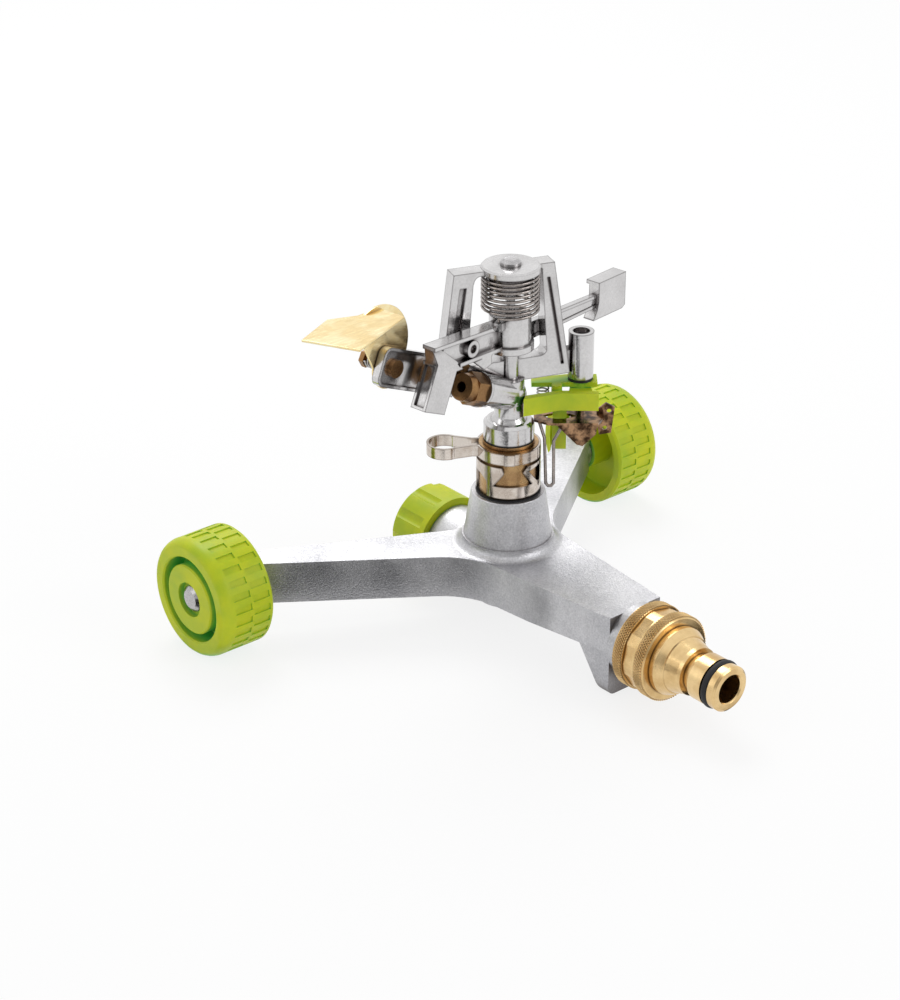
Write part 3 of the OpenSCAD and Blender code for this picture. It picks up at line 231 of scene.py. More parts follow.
@dataclass
class SharedEffect:
    """A shader group that several finishes use, built once.

    Args:
        name: the group's name.
        inputs: input names with their default values, a number or a vector each.
        outputs: output names, each a mask or a height.
        fill: builds the group's nodes and gives its outputs in order.
    """

    name: str
    inputs: dict[str, float | Point]
    outputs: tuple[str, ...]
    fill: Callable[[Canvas, Sockets], list[Socket]]
    tree: NodeTree | None = None

    def build(self) -> NodeTree:
        """Builds the group once.

        Returns:
            The group's node tree.
        """
        if self.tree is None:
            self.tree = bpy.data.node_groups.new(self.name, "ShaderNodeTree")
            sockets = self.tree.interface
            for label, value in self.inputs.items():
                kind = "NodeSocketFloat" if isinstance(value, float) else "NodeSocketVector"
                made = sockets.new_socket(label, in_out="INPUT", socket_type=kind)
                made.default_value = value
            for label in self.outputs:
                sockets.new_socket(label, in_out="OUTPUT", socket_type="NodeSocketFloat")
            canvas = Canvas(self.tree)
            start = canvas.node("NodeGroupInput")
            given = {s.name: s for s in start.outputs if s.name}
            canvas.node("NodeGroupOutput", dict(zip(self.outputs, self.fill(canvas, given))))
        return self.tree

    def place(self, canvas: Canvas, **values: object) -> Sockets:
        """Adds the group to a material.

        Args:
            canvas: the material's canvas.
            values: values for its inputs.

        Returns:
            The group's outputs by name.
        """
        made = canvas.node("ShaderNodeGroup", values, node_tree=self.build())
        return {s.name: s for s in made.outputs}


def _fill_grain(canvas: Canvas, given: Sockets) -> list[Socket]:
    """Fine pits and broad clouds of a cast or blasted surface.

    Args:
        canvas: the group's canvas.
        given: the group's inputs.

    Returns:
        Height, fine mask and cloud mask.
    """
    vector, scale = given["Vector"], given["Grains"]
    fine = canvas.noise(vector, scale, 3.0, 0.65)
    pits = canvas.node("ShaderNodeTexVoronoi", {"Vector": vector, "Scale": scale})
    cloud = canvas.noise(vector, given["Clouds"], 4.0, 0.55)
    pit = canvas.span(pits.outputs["Distance"], 0.1, 0.6)
    height = canvas.share(fine, pit, 0.6)
    return [height, canvas.span(fine, 0.3, 0.7), canvas.span(cloud, 0.35, 0.65)]


def _fill_streaks(canvas: Canvas, given: Sockets) -> list[Socket]:
    """Long thin scratches along the first coordinate, with a few deeper ones.

    Args:
        canvas: the group's canvas.
        given: the group's inputs.

    Returns:
        Height and mask.
    """
    stretch = (0.04, 1.0, 1.0)
    drawn = canvas.node(
        "ShaderNodeVectorMath", {0: given["Vector"], 1: stretch}, operation="MULTIPLY"
    ).outputs[0]
    fine = canvas.noise(drawn, given["Streaks"], 2.0, 0.7)
    deep = canvas.noise(drawn, canvas.maths("MULTIPLY", given["Streaks"], 0.37), 1.0, 0.5)
    scratch, gouge = canvas.span(fine, 0.35, 0.65), canvas.span(deep, 0.3, 0.7, 0.5, 1.0)
    return [fine, canvas.maths("MULTIPLY", scratch, gouge)]


def _fill_turning(canvas: Canvas, given: Sockets) -> list[Socket]:
    """Rings left by a lathe tool, one for each pitch along the third coordinate.

    Args:
        canvas: the group's canvas.
        given: the group's inputs.

    Returns:
        Height and mask.
    """
    along = canvas.node("ShaderNodeSeparateXYZ", {"Vector": given["Vector"]}).outputs[2]
    drift_cells, drift_depth, slow = 90.0, 0.4 * MM, 5.3
    noise = canvas.noise(given["Vector"], drift_cells)
    drift = canvas.maths("MULTIPLY", noise, drift_depth)
    phase = canvas.maths("DIVIDE", canvas.maths("ADD", along, drift), given["Pitch"])
    wave = canvas.maths("SINE", canvas.maths("MULTIPLY", phase, math.tau))
    swell = canvas.maths("SINE", canvas.maths("MULTIPLY", phase, math.tau / slow))
    height = canvas.maths("MULTIPLY_ADD", swell, 0.3, wave)
    return [height, canvas.span(height, -1.3, 1.3)]


def _fill_painted_shade(canvas: Canvas, given: Sockets) -> list[Socket]:
    """Finds hollows, shut in by faces near them, and the rims along outer edges, where colour is
    painted darker to stand in for shade.

    Args:
        canvas: the group's canvas.
        given: the group's inputs.

    Returns:
        Mask of the open faces, and mask of the faces away from an edge.
    """
    kind, rays, rim = "ShaderNodeAmbientOcclusion", 12, 0.5 * MM
    sky = canvas.node(kind, {"Distance": given["Reach"]}, samples=rays).outputs["AO"]
    solid = canvas.node(kind, {"Distance": rim}, samples=rays, inside=True, only_local=True)
    return [
        canvas.span(sky, given["Shut"], given["Open"]),
        canvas.span(solid.outputs["AO"], 0.5, 0.95),
    ]


NOWHERE = (0.0, 0.0, 0.0)
GRAIN = SharedEffect(
    "cast_grain",
    {"Vector": NOWHERE, "Grains": 2500.0, "Clouds": 60.0},
    ("Height", "Fine", "Cloud"),
    _fill_grain,
)
STREAKS = SharedEffect(
    "fine_streaks", {"Vector": NOWHERE, "Streaks": 2500.0}, ("Height", "Mask"), _fill_streaks
)
TURNING = SharedEffect(
    "turning_rings", {"Vector": NOWHERE, "Pitch": 0.00035}, ("Height", "Mask"), _fill_turning
)
# Masks for painted shade: hollows darkened as if shaded, and a dark line painted along outer edges.
PAINTED_SHADE = SharedEffect(
    "worn_corners", {"Reach": 0.003, "Shut": 0.25, "Open": 0.8}, ("Clear", "Inner"), _fill_painted_shade
)


@dataclass(frozen=True)
class Finish:
    """A surface finish with one material.

    Args:
        name: the material's name.
        colour: main linear colour.
        shade: colour of the streaks or clouds.
        rough: roughness of the plain surface.
        hollow_shade: colour painted into its hollows and narrow corners as shade, if any.
        reach: how far a neighbouring face shades a hollow, in metres.
        narrow: shares of open sky at which a hollow has its full painted shade, and none of it.
        edge: colour of a dark line painted along its outer edges as shade and dark reflection, if
            any.
    """

    name: str
    colour: Colour
    shade: Colour
    rough: float = 0.3
    # Painted shade: a darker colour in hollows, and a dark line along outer edges that stands in
    # for shade and dark reflections.
    hollow_shade: Colour | None = field(default=None, kw_only=True)
    reach: float = field(default=0.003, kw_only=True)
    narrow: Spot = field(default=(0.25, 0.8), kw_only=True)
    edge: Colour | None = field(default=None, kw_only=True)
    metallic: ClassVar[float] = 1.0
    strength: ClassVar[float] = 0.5
    spread: ClassVar[float] = 0.1

    def surface(self, canvas: Canvas, shader: Node, vector: Socket) -> None:
        """Feeds the shader's colour, roughness and normal.

        Args:
            canvas: the material's canvas.
            shader: the Principled BSDF.
            vector: object coordinates.
        """
        raise NotImplementedError

    def with_painted_shade(self, canvas: Canvas, colour: Socket) -> Socket:
        """Paints shade into a colour, darker in hollows and along outer edges, where the finish has
        colours for them.

        Args:
            canvas: the material's canvas.
            colour: the colour on open faces.

        Returns:
            The colour socket.
        """
        if self.hollow_shade or self.edge:
            shut, clear = self.narrow
            masks = PAINTED_SHADE.place(canvas, Reach=self.reach, Shut=shut, Open=clear)
            if self.hollow_shade:
                # Painted shade in hollows, where faces near them would shade them.
                colour = canvas.blend(masks["Clear"], rgba(self.hollow_shade), colour)
            if self.edge:
                # Painted dark line along outer edges, standing in for shade and dark reflections
                # there.
                colour = canvas.blend(masks["Inner"], rgba(self.edge), colour)
        return colour

    def paint(self, canvas: Canvas, shader: Node, tone: Socket) -> None:
        """Feeds the shader's colour, from the shade colour at a tone of 0 to the main colour at 1,
        with painted shade in hollows and along edges where the finish has it.
        """
        colour = canvas.blend(tone, rgba(self.shade), rgba(self.colour))
        canvas.feed(shader.inputs["Base Color"], self.with_painted_shade(canvas, colour))

    def dull(self, canvas: Canvas, shader: Node, mask: Socket) -> None:
        """Feeds the shader's roughness, which a mask raises."""
        rough = canvas.span(mask, 0.0, 1.0, self.rough, self.rough + self.spread)
        canvas.feed(shader.inputs["Roughness"], rough)

    def bump(self, canvas: Canvas, shader: Node, height: Socket, depth: float) -> None:
        """Feeds the shader's normal from a height of a depth in metres."""
        inputs = {"Strength": self.strength, "Distance": depth, "Height": height}
        canvas.feed(shader.inputs["Normal"], canvas.node("ShaderNodeBump", inputs).outputs[0])

    def material(self) -> bpy.types.Material:
        """Builds the material once.

        Returns:
            The material.
        """
        made = bpy.data.materials.get(self.name)
        if made is None:
            made = bpy.data.materials.new(self.name)
            canvas = cleared(made)
            shader = canvas.node(
                "ShaderNodeBsdfPrincipled", {"Metallic": self.metallic, "Roughness": self.rough}
            )
            canvas.node("ShaderNodeOutputMaterial", {"Surface": shader.outputs[0]})
            self.surface(canvas, shader, canvas.node("ShaderNodeTexCoord").outputs["Object"])
            made.diffuse_color = rgba(self.colour)
        return made


@dataclass(frozen=True)
class CastFinish(Finish):
    """A casting's finish: fine grain under the light, with clouds of tone.

    Args:
        fine: grain cells per metre.
        cloud: clouds per metre.
        height: depth of the grain, in metres.
        spread: how much the roughness varies.
        wave: height of a slow swell, in grains, as plating has.
    """

    fine: float = 2500.0
    cloud: float = 60.0
    height: float = 0.00006
    spread: float = 0.12
    wave: float = 0.0
    swells: ClassVar[float] = 260.0
    strength: ClassVar[float] = 0.6

    def surface(self, canvas: Canvas, shader: Node, vector: Socket) -> None:
        """Grain in the colour, roughness and normal, with a slow swell on plated parts.

        Args:
            canvas: the material's canvas.
            shader: the Principled BSDF.
            vector: object coordinates.
        """
        grain = GRAIN.place(canvas, Vector=vector, Grains=self.fine, Clouds=self.cloud)
        self.paint(canvas, shader, canvas.share(grain["Fine"], grain["Cloud"], 0.5))
        self.dull(canvas, shader, grain["Cloud"])
        height = grain["Height"]
        if self.wave:
            swell = canvas.noise(vector, self.swells)
            height = canvas.maths("MULTIPLY_ADD", swell, self.wave, height)
        self.bump(canvas, shader, height, self.height)


@dataclass(frozen=True)
class TurnedFinish(Finish):
    """A turned metal finish, with rings along its axis.

    Args:
        axis: the lathe's axis.
        pitch: distance between rings, in metres.
        height: depth of the rings, in metres.
    """

    axis: Axis = Axis.Z
    pitch: float = 0.0004
    height: float = 0.00001
    patches: ClassVar[float] = 900.0
    stains: ClassVar[float] = 110.0

    def surface(self, canvas: Canvas, shader: Node, vector: Socket) -> None:
        """Rings in the normal, and stains and dull patches in the colour and roughness.

        Args:
            canvas: the material's canvas.
            shader: the Principled BSDF.
            vector: object coordinates.
        """
        parts = canvas.node("ShaderNodeSeparateXYZ", {"Vector": vector}).outputs
        order = {Axis.X: (1, 2, 0), Axis.Y: (2, 0, 1), Axis.Z: (0, 1, 2)}[self.axis]
        along = {i: parts[o] for i, o in enumerate(order)}
        turned = canvas.node("ShaderNodeCombineXYZ", along).outputs[0]
        rings = TURNING.place(canvas, Vector=turned, Pitch=self.pitch)
        grain = GRAIN.place(canvas, Vector=vector, Grains=self.patches, Clouds=self.stains)
        self.paint(canvas, shader, canvas.share(rings["Mask"], grain["Cloud"], 0.25))
        self.dull(canvas, shader, grain["Fine"])
        self.bump(canvas, shader, rings["Height"], self.height)


@dataclass(frozen=True)
class SheetFinish(Finish):
    """Rolled sheet or drawn wire, with long fine streaks.

    Args:
        scale: streaks per metre.
        height: depth of the streaks, in metres.
        blotch: share of the colour that stains change.
        stain: stains per metre.
    """

    scale: float = 3000.0
    height: float = 0.000008
    blotch: float = 0.3
    stain: float = 130.0
    spread: ClassVar[float] = 0.12

    def surface(self, canvas: Canvas, shader: Node, vector: Socket) -> None:
        """Streaks in the roughness and normal, and stains in the colour.

        Args:
            canvas: the material's canvas.
            shader: the Principled BSDF.
            vector: object coordinates.
        """
        streaks = STREAKS.place(canvas, Vector=vector, Streaks=self.scale)
        stain = canvas.span(canvas.noise(vector, self.stain, 4.0, 0.6), 0.4, 0.6)
        self.paint(canvas, shader, canvas.share(stain, streaks["Mask"], self.blotch))
        self.dull(canvas, shader, streaks["Mask"])
        self.bump(canvas, shader, streaks["Height"], self.height)


@dataclass(frozen=True)
class MouldedFinish(Finish):
    """Moulded plastic or rubber, with a fine skin and slight flow clouds.

    Args:
        fine: skin cells per metre.
        height: depth of the skin, in metres.
        depth: how far light goes into it, in metres.
    """

    fine: float = 3200.0
    height: float = 0.00003
    depth: float = 0.0
    clouds: ClassVar[float] = 75.0
    shine: ClassVar[float] = 0.35
    soak: ClassVar[float] = 0.25
    soak_radius: ClassVar[Colour] = (0.6, 1.0, 0.15)
    metallic: ClassVar[float] = 0.0
    strength: ClassVar[float] = 0.4

    def surface(self, canvas: Canvas, shader: Node, vector: Socket) -> None:
        """Clouds in the colour, and a fine skin in the roughness and normal.

        Args:
            canvas: the material's canvas.
            shader: the Principled BSDF.
            vector: object coordinates.
        """
        grain = GRAIN.place(canvas, Vector=vector, Grains=self.fine, Clouds=self.clouds)
        self.paint(canvas, shader, canvas.share(grain["Fine"], grain["Cloud"], 0.25))
        self.dull(canvas, shader, grain["Cloud"])
        shader.inputs["Specular IOR Level"].default_value = self.shine
        if self.depth:
            shader.inputs["Subsurface Weight"].default_value = self.soak
            shader.inputs["Subsurface Scale"].default_value = self.depth
            shader.inputs["Subsurface Radius"].default_value = self.soak_radius
        self.bump(canvas, shader, grain["Height"], self.height)


@dataclass(frozen=True)
class Palette:
    """Every finish of the sprinkler."""

    # Colours given for hollows are painted shade, and colours given for edges are painted dark
    # lines along outer edges.
    blasted: Finish = CastFinish(
        "blasted_aluminium", (0.74, 0.735, 0.75), (0.36, 0.36, 0.38), 0.38,
        fine=1500.0, cloud=45.0, height=0.00016, spread=0.1,
        hollow_shade=(0.13, 0.115, 0.11), reach=0.010, narrow=(0.3, 0.85),
    )
    # The plated casting has a painted dark line along its outer edges and painted shade in its
    # hollows.
    plated: Finish = CastFinish(
        "plated_casting", (0.68, 0.67, 0.67), (0.52, 0.51, 0.51), 0.12,
        fine=1200.0, cloud=90.0, height=0.00002, spread=0.08, wave=3.0,
        hollow_shade=(0.09, 0.075, 0.075), narrow=(0.35, 0.9), edge=(0.20, 0.19, 0.19),
    )
    brass_y: Finish = TurnedFinish(
        "turned_brass", (0.84, 0.62, 0.32), (0.60, 0.39, 0.165), 0.17, axis=Axis.Y,
        hollow_shade=(0.16, 0.085, 0.03), reach=0.001, narrow=(0.4, 0.9),
    )
    brass_z: Finish = TurnedFinish(
        "stained_brass", (0.56, 0.38, 0.18), (0.30, 0.17, 0.08), 0.2, hollow_shade=(0.06, 0.035, 0.02)
    )
    nozzle: Finish = CastFinish(
        "nozzle_brass", (0.36, 0.205, 0.085), (0.19, 0.095, 0.04), 0.26,
        fine=1500.0, cloud=160.0, height=0.00002, spread=0.14,
    )
    gilt: Finish = SheetFinish(
        "gilded_plate", (0.95, 0.84, 0.52), (0.83, 0.62, 0.29), 0.14,
        blotch=0.6, hollow_shade=(0.42, 0.22, 0.07),
    )
    copper: Finish = SheetFinish(
        "bronzed_plate", (0.42, 0.25, 0.14), (0.024, 0.011, 0.006), 0.14, blotch=0.85, stain=300.0
    )
    # The band has a painted dark line along its outer edges and painted shade in its hollows.
    strip: Finish = SheetFinish(
        "polished_band", (0.76, 0.70, 0.64), (0.46, 0.39, 0.33), 0.1, blotch=0.6,
        hollow_shade=(0.10, 0.075, 0.06), reach=0.0025, edge=(0.30, 0.26, 0.23),
    )
    wire: Finish = SheetFinish(
        "spring_wire", (0.50, 0.46, 0.43), (0.24, 0.21, 0.20), 0.12,
        hollow_shade=(0.05, 0.038, 0.036), narrow=(0.35, 0.95),
    )
    dull_steel: Finish = SheetFinish(
        "dull_steel", (0.64, 0.63, 0.64), (0.36, 0.35, 0.35), 0.22, hollow_shade=(0.10, 0.09, 0.085)
    )
    lime: Finish = MouldedFinish(
        "lime_plastic", (0.58, 0.62, 0.006), (0.37, 0.50, 0.008), 0.42, depth=0.001,
        hollow_shade=(0.10, 0.60, 0.13), reach=0.010, narrow=(0.12, 0.52),
    )
    rubber: Finish = MouldedFinish("seal_rubber", (0.02, 0.02, 0.022), (0.012, 0.012, 0.013), 0.5)
    nylon: Finish = MouldedFinish("bearing_nylon", (0.78, 0.77, 0.73), (0.70, 0.69, 0.64), 0.4)


# Mesh tools


def link(obj: Piece) -> Piece:
    """Puts an object into the scene.

    Args:
        obj: the object.

    Returns:
        The same object.
    """
    bpy.context.scene.collection.objects.link(obj)
    return obj


def mesh_object(
    name: str,
    points: Iterable[Sequence[float]],
    faces: Iterable[Sequence[int]],
    edges: Iterable[Sequence[int]] = (),
) -> Piece:
    """Makes an object from points and faces.

    Args:
        name: its name.
        points: its points, in metres.
        faces: its faces.
        edges: loose edges.

    Returns:
        The object.
    """
    data = bpy.data.meshes.new(name)
    data.from_pydata(*[[tuple(item) for item in items] for items in (points, edges, faces)])
    data.update()
    return link(bpy.data.objects.new(name, data))


def baked(obj: Piece, finish: Finish | None = None) -> Piece:
    """Applies an object's modifiers.

    Args:
        obj: the object.
        finish: a finish that replaces its materials, if any.

    Returns:
        The same object with a plain mesh.
    """
    graph = bpy.context.evaluated_depsgraph_get()
    data = bpy.data.meshes.new_from_object(obj.evaluated_get(graph))
    obj.modifiers.clear()
    obj.data = data
    if finish is not None:
        data.materials.clear()
        data.materials.append(finish.material())
    return obj


def softened(node: str, name: str, width: float, finish: Finish, segments: int = 2) -> Piece:
    """Copies a solid with its edges rounded, as a casting's or a moulding's are.

    Args:
        node: the solid's name.
        name: the new piece's name.
        width: width of the rounding, in metres.
        finish: its finish.
        segments: facets across the rounding.

    Returns:
        The new piece.
    """
    data = bpy.data.objects[node].data.copy()
    data.name = name
    piece = link(bpy.data.objects.new(name, data))
    work = bmesh.new()
    work.from_mesh(data)
    bmesh.ops.remove_doubles(work, verts=work.verts, dist=MERGE_GAP)
    bmesh.ops.dissolve_limit(
        work, angle_limit=FLAT_ANGLE, verts=work.verts, edges=work.edges, delimit={"NORMAL"}
    )
    for face in work.faces:
        face.smooth = True
    for edge in work.edges:
        edge.smooth = len(edge.link_faces) == 2 and edge.calc_face_angle(0.0) < EDGE_ANGLE
    work.to_mesh(data)
    work.free()
    normals = data.attributes.get("custom_normal")
    if normals is not None:
        data.attributes.remove(normals)
    bevel = piece.modifiers.new("edges", "BEVEL")
    bevel.width, bevel.segments, bevel.limit_method = width, segments, "ANGLE"
    bevel.angle_limit, bevel.use_clamp_overlap, bevel.harden_normals = EDGE_ANGLE, True, True
    bevel.miter_outer = "MITER_ARC"
    weigh = piece.modifiers.new("normals", "WEIGHTED_NORMAL")
    weigh.keep_sharp, weigh.weight = True, 80
    return baked(piece, finish)


def hub_frame() -> Matrix:
    """Gives the frame whose Z is the sprinkler's upright axis."""
    return Matrix.Translation((0.0, ORIGIN_Y, 0.0))


def head_frame() -> Matrix:
    """Gives the head's frame: X along the nozzle in plan, Y to its left."""
    return hub_frame() @ Matrix.Rotation(HEAD_YAW, 4, "Z")


def trip_frame() -> Matrix:
    """Gives the trip gear's frame: X to its side, Y to the back."""
    return head_frame() @ Matrix.Rotation(TRIP_TURN, 4, "Z")


# Geometry Nodes trees


@dataclass
class GeometryTree:
    """A Geometry Nodes tree with named inputs.

    Args:
        name: the tree's name.
        inputs: input names with their socket types.
        fill: builds the tree and gives the geometry before its material is set.
    """

    name: str
    inputs: dict[str, str]
    fill: Callable[[Canvas, Sockets], Socket]
    tree: NodeTree | None = None

    def build(self) -> NodeTree:
        """Builds the tree once, ending in Realize Instances and Set Material.

        Returns:
            The tree.
        """
        if self.tree is None:
            self.tree = bpy.data.node_groups.new(self.name, "GeometryNodeTree")
            sockets = self.tree.interface
            solid, cover = "NodeSocketGeometry", "NodeSocketMaterial"
            for label, kind in {"Geometry": solid, **self.inputs, "Material": cover}.items():
                sockets.new_socket(label, in_out="INPUT", socket_type=kind)
            sockets.new_socket("Geometry", in_out="OUTPUT", socket_type=solid)
            canvas = Canvas(self.tree)
            start = canvas.node("NodeGroupInput")
            given = {s.name: s for s in start.outputs if s.name}
            made = canvas.node("GeometryNodeRealizeInstances", {0: self.fill(canvas, given)})
            inputs = {0: made.outputs[0], "Material": given["Material"]}
            dressed = canvas.node("GeometryNodeSetMaterial", inputs)
            canvas.node("NodeGroupOutput", {0: dressed.outputs[0]})
        return self.tree

    def apply(self, obj: Piece, finish: Finish, **values: object) -> Piece:
        """Runs the tree on an object and keeps the result as a plain mesh.

        Args:
            obj: the object that feeds the tree.
            finish: the result's finish.
            values: input values.

        Returns:
            The same object.
        """
        modifier = obj.modifiers.new(self.name, "NODES")
        modifier.node_group = self.build()
        wanted = {"Material": finish.material(), **values}
        for item in modifier.node_group.interface.items_tree:
            if item.in_out == "INPUT" and item.name in wanted:
                modifier[item.identifier] = wanted[item.name]
        return baked(obj, finish)


def _fill_wire(canvas: Canvas, given: Sockets) -> Socket:
    """Sweeps a round section along the edges that come in.

    Args:
        canvas: the tree's canvas.
        given: the tree's inputs.

    Returns:
        The swept wire.
    """
    path = canvas.node("GeometryNodeMeshToCurve", {0: given["Geometry"]}).outputs[0]
    sizes = {"Resolution": given["Sides"], "Radius": given["Radius"]}
    section = canvas.node("GeometryNodeCurvePrimitiveCircle", sizes).outputs[0]
    sweep = {"Curve": path, "Profile Curve": section, "Fill Caps": True}
    swept = canvas.node("GeometryNodeCurveToMesh", sweep)
    return canvas.node("GeometryNodeSetShadeSmooth", {0: swept.outputs[0]}).outputs[0]


def _fill_knurl(canvas: Canvas, given: Sockets) -> Socket:
    """Sets thin leaning ridges round a ring of points, both ways, so that they cross.

    Args:
        canvas: the tree's canvas.
        given: the tree's inputs.

    Returns:
        The ridges, still as instances.
    """
    sizes = {"Vertices": given["Count"], "Radius": given["Radius"]}
    ring = canvas.node("GeometryNodeMeshCircle", sizes).outputs[0]
    sides = {0: given["Width"], 1: given["Width"], 2: given["Length"]}
    bar = canvas.node("ShaderNodeCombineXYZ", sides).outputs[0]
    ridge = canvas.node("GeometryNodeMeshCube", {"Size": bar}).outputs[0]
    corner_out = {"Geometry": ridge, "Rotation": (0.0, 0.0, math.pi / 4)}
    turned = canvas.node("GeometryNodeTransform", corner_out).outputs[0]
    place = canvas.node("GeometryNodeInputPosition").outputs[0]
    joined = canvas.node("GeometryNodeJoinGeometry")
    for way in (1.0, -1.0):
        lean = canvas.maths("MULTIPLY", given["Lean"], way)
        about_x = canvas.node("ShaderNodeCombineXYZ", {0: lean}).outputs[0]
        tilt = {"Geometry": turned, "Rotation": about_x}
        leaning = canvas.node("GeometryNodeTransform", tilt).outputs[0]
        aim = canvas.node(
            "FunctionNodeAlignRotationToVector", {"Vector": place}, axis="X", pivot_axis="Z"
        )
        spots = {"Points": ring, "Instance": leaning, "Rotation": aim.outputs[0]}
        canvas.feed(joined.inputs[0], canvas.node("GeometryNodeInstanceOnPoints", spots).outputs[0])
    return joined.outputs[0]


NUMBER, COUNT = "NodeSocketFloat", "NodeSocketInt"
WIRE = GeometryTree("round_wire", {"Radius": NUMBER, "Sides": COUNT}, _fill_wire)
KNURL = GeometryTree(
    "crossed_knurl",
    {"Count": COUNT, "Radius": NUMBER, "Length": NUMBER, "Width": NUMBER, "Lean": NUMBER},
    _fill_knurl,
)


@dataclass(frozen=True)
class Coil:
    """A wound spring whose ends run straight for one wire.

    Args:
        radius: radius of its middle line.
        wire: diameter of its wire.
        height: its whole height.
        turns: its turns.
        start: heading of its first end, in radians.
        steps: straight bits in a turn.
        sides: sides of the wire's section.
    """

    radius: float
    wire: float
    height: float
    turns: float
    start: float = 0.0
    steps: int = 28
    sides: int = 10

    def wound(self, name: str, place: Matrix, finish: Finish) -> Piece:
        """Winds the spring from round wire.

        Args:
            name: the piece's name.
            place: the frame whose Z it winds about.
            finish: its finish.

        Returns:
            The piece.
        """
        count = round(self.turns * self.steps)
        rise = self.height - 2.0 * self.wire
        points = [self.spot(0.0, 0.0)]
        parts = [i / count for i in range(count + 1)]
        points += [self.spot(part, self.wire + rise * part) for part in parts]
        points.append(points[-1] + Vector((0.0, 0.0, self.wire)))
        bits = [(i, i + 1) for i in range(len(points) - 1)]
        line = mesh_object(name, [place @ p for p in points], [], bits)
        return WIRE.apply(line, finish, Radius=self.wire / 2, Sides=self.sides)

    def spot(self, part: float, height: float) -> Vector:
        """Gives the point of the winding after a part of the turns, at a height."""
        turn = self.start + math.tau * self.turns * part
        return Vector((self.radius * math.cos(turn), self.radius * math.sin(turn), height))


# Sub-assemblies


def stand_for(piece: Piece, body: str, slot: str, *nodes: str) -> Piece:
    """Lets a piece ride on a body and stand for solids, which it hides.

    Args:
        piece: the piece.
        body: the body's name.
        slot: not used.
        nodes: solids that it replaces.

    Returns:
        The same piece.
    """
    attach(piece, body)
    if nodes:
        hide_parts(*nodes)
    log.info("%s rides on %s with %d points", piece.name, body, len(piece.data.vertices))
    return piece


@dataclass
class Dresser:
    """Gives the solids that stay their finishes.

    Args:
        nodes: the solids by name.
    """

    nodes: dict[str, Piece]

    def dress(self, finish: Finish, *names: str) -> None:
        """Sets one finish on some solids.

        Args:
            finish: the finish.
            names: the solids' names.
        """
        for name in names:
            slots = self.nodes[name].material_slots
            if slots:
                for slot in slots:
                    slot.material = finish.material()
            else:
                self.nodes[name].data.materials.append(finish.material())
            log.info("%s is finished in %s", name, finish.name)


@dataclass
class SubAssembly:
    """Pieces that are made and dressed together.

    Args:
        palette: the sprinkler's finishes.
    """

    palette: Palette

    def build(self) -> None:
        """Builds the pieces that stand for solids, if it has any."""

    def finish(self, dresser: Dresser) -> None:
        """Dresses the solids that stay.

        Args:
            dresser: gives solids their finishes.
        """
        raise NotImplementedError


@dataclass
class CastBase(SubAssembly):
    """The cast base with its hub, foot and end cap.

    Args:
        casting_round: rounding of the casting's edges.
        cap_round: rounding of the cap's edges.
    """

    casting_round: float = 0.45 * MM
    cap_round: float = 0.35 * MM

    def build(self) -> None:
        """Builds the base's pieces."""
        casting = softened("base_casting", "cast_base", self.casting_round, self.palette.blasted, 3)
        stand_for(casting, "base", "cast_aluminium", "base_casting")
        cap = softened("end_cap", "fluted_cap", self.cap_round, self.palette.lime)
        stand_for(cap, "end_cap", "green_plastic", "end_cap")

    def finish(self, dresser: Dresser) -> None:
        """Dresses the base's gaskets."""
        dresser.dress(self.palette.rubber, "cap_gasket", "boss_gasket")


@dataclass
class Wheels(SubAssembly):
    """The two wheels with their axles.

    Args:
        rounding: rounding of the tread's and the rim's edges.
    """

    rounding: float = 0.35 * MM

    def build(self) -> None:
        """Builds both wheels."""
        for side in ("left", "right"):
            wheel = softened(f"{side}_wheel", f"{side}_tyre", self.rounding, self.palette.lime)
            stand_for(wheel, f"{side}_wheel", "green_plastic", f"{side}_wheel")

    def finish(self, dresser: Dresser) -> None:
        """Dresses the axles and washers."""
        names = ("left_axle", "right_axle", "left_washer", "right_washer")
        dresser.dress(self.palette.dull_steel, *names)


@dataclass
class HoseConnector(SubAssembly):
    """The coupling nut with its knurls, and the grooved plug.

    Args:
        face_y: place of the nut's inner end.
        band: width of a knurled band.
        length: length of the nut.
        lip: plain edge between the outer band and the nut's end.
        radius: radius to the middle of the ridges.
        axis_z: height of the nut's axis.
        ridges: ridges that lean one way round a band.
        ridge: thickness of a ridge.
        lean: how far the ridges lean.
    """

    face_y: float = ORIGIN_Y - 67.2 * MM
    band: float = 4.2 * MM
    length: float = 13.8 * MM
    lip: float = 0.2 * MM
    radius: float = 14.5 * MM
    axis_z: float = 18.0 * MM
    ridges: int = 92
    ridge: float = 0.48 * MM
    lean: float = math.radians(32.0)

    def build(self) -> None:
        """Builds the knurled bands."""
        for i, middle in enumerate((self.band / 2, self.length - self.band / 2 - self.lip)):
            ring = mesh_object(f"knurl_band_{i}", [(0.0, 0.0, 0.0)], [])
            sizes = {"Radius": self.radius, "Length": self.band, "Width": self.ridge}
            KNURL.apply(ring, self.palette.brass_y, Count=self.ridges, Lean=self.lean, **sizes)
            place = Matrix.Translation((0.0, self.face_y - middle, self.axis_z))
            ring.data.transform(place @ Matrix.Rotation(math.pi / 2, 4, "X"))
            stand_for(ring, "hose_nut", "machined_brass")

    def finish(self, dresser: Dresser) -> None:
        """Dresses the nut, the plug, the seals and the strainer."""
        dresser.dress(self.palette.brass_y, "hose_nut", "hose_nipple")
        dresser.dress(self.palette.rubber, "hose_gasket", "nipple_oring")
        dresser.dress(self.palette.dull_steel, "inlet_filter")


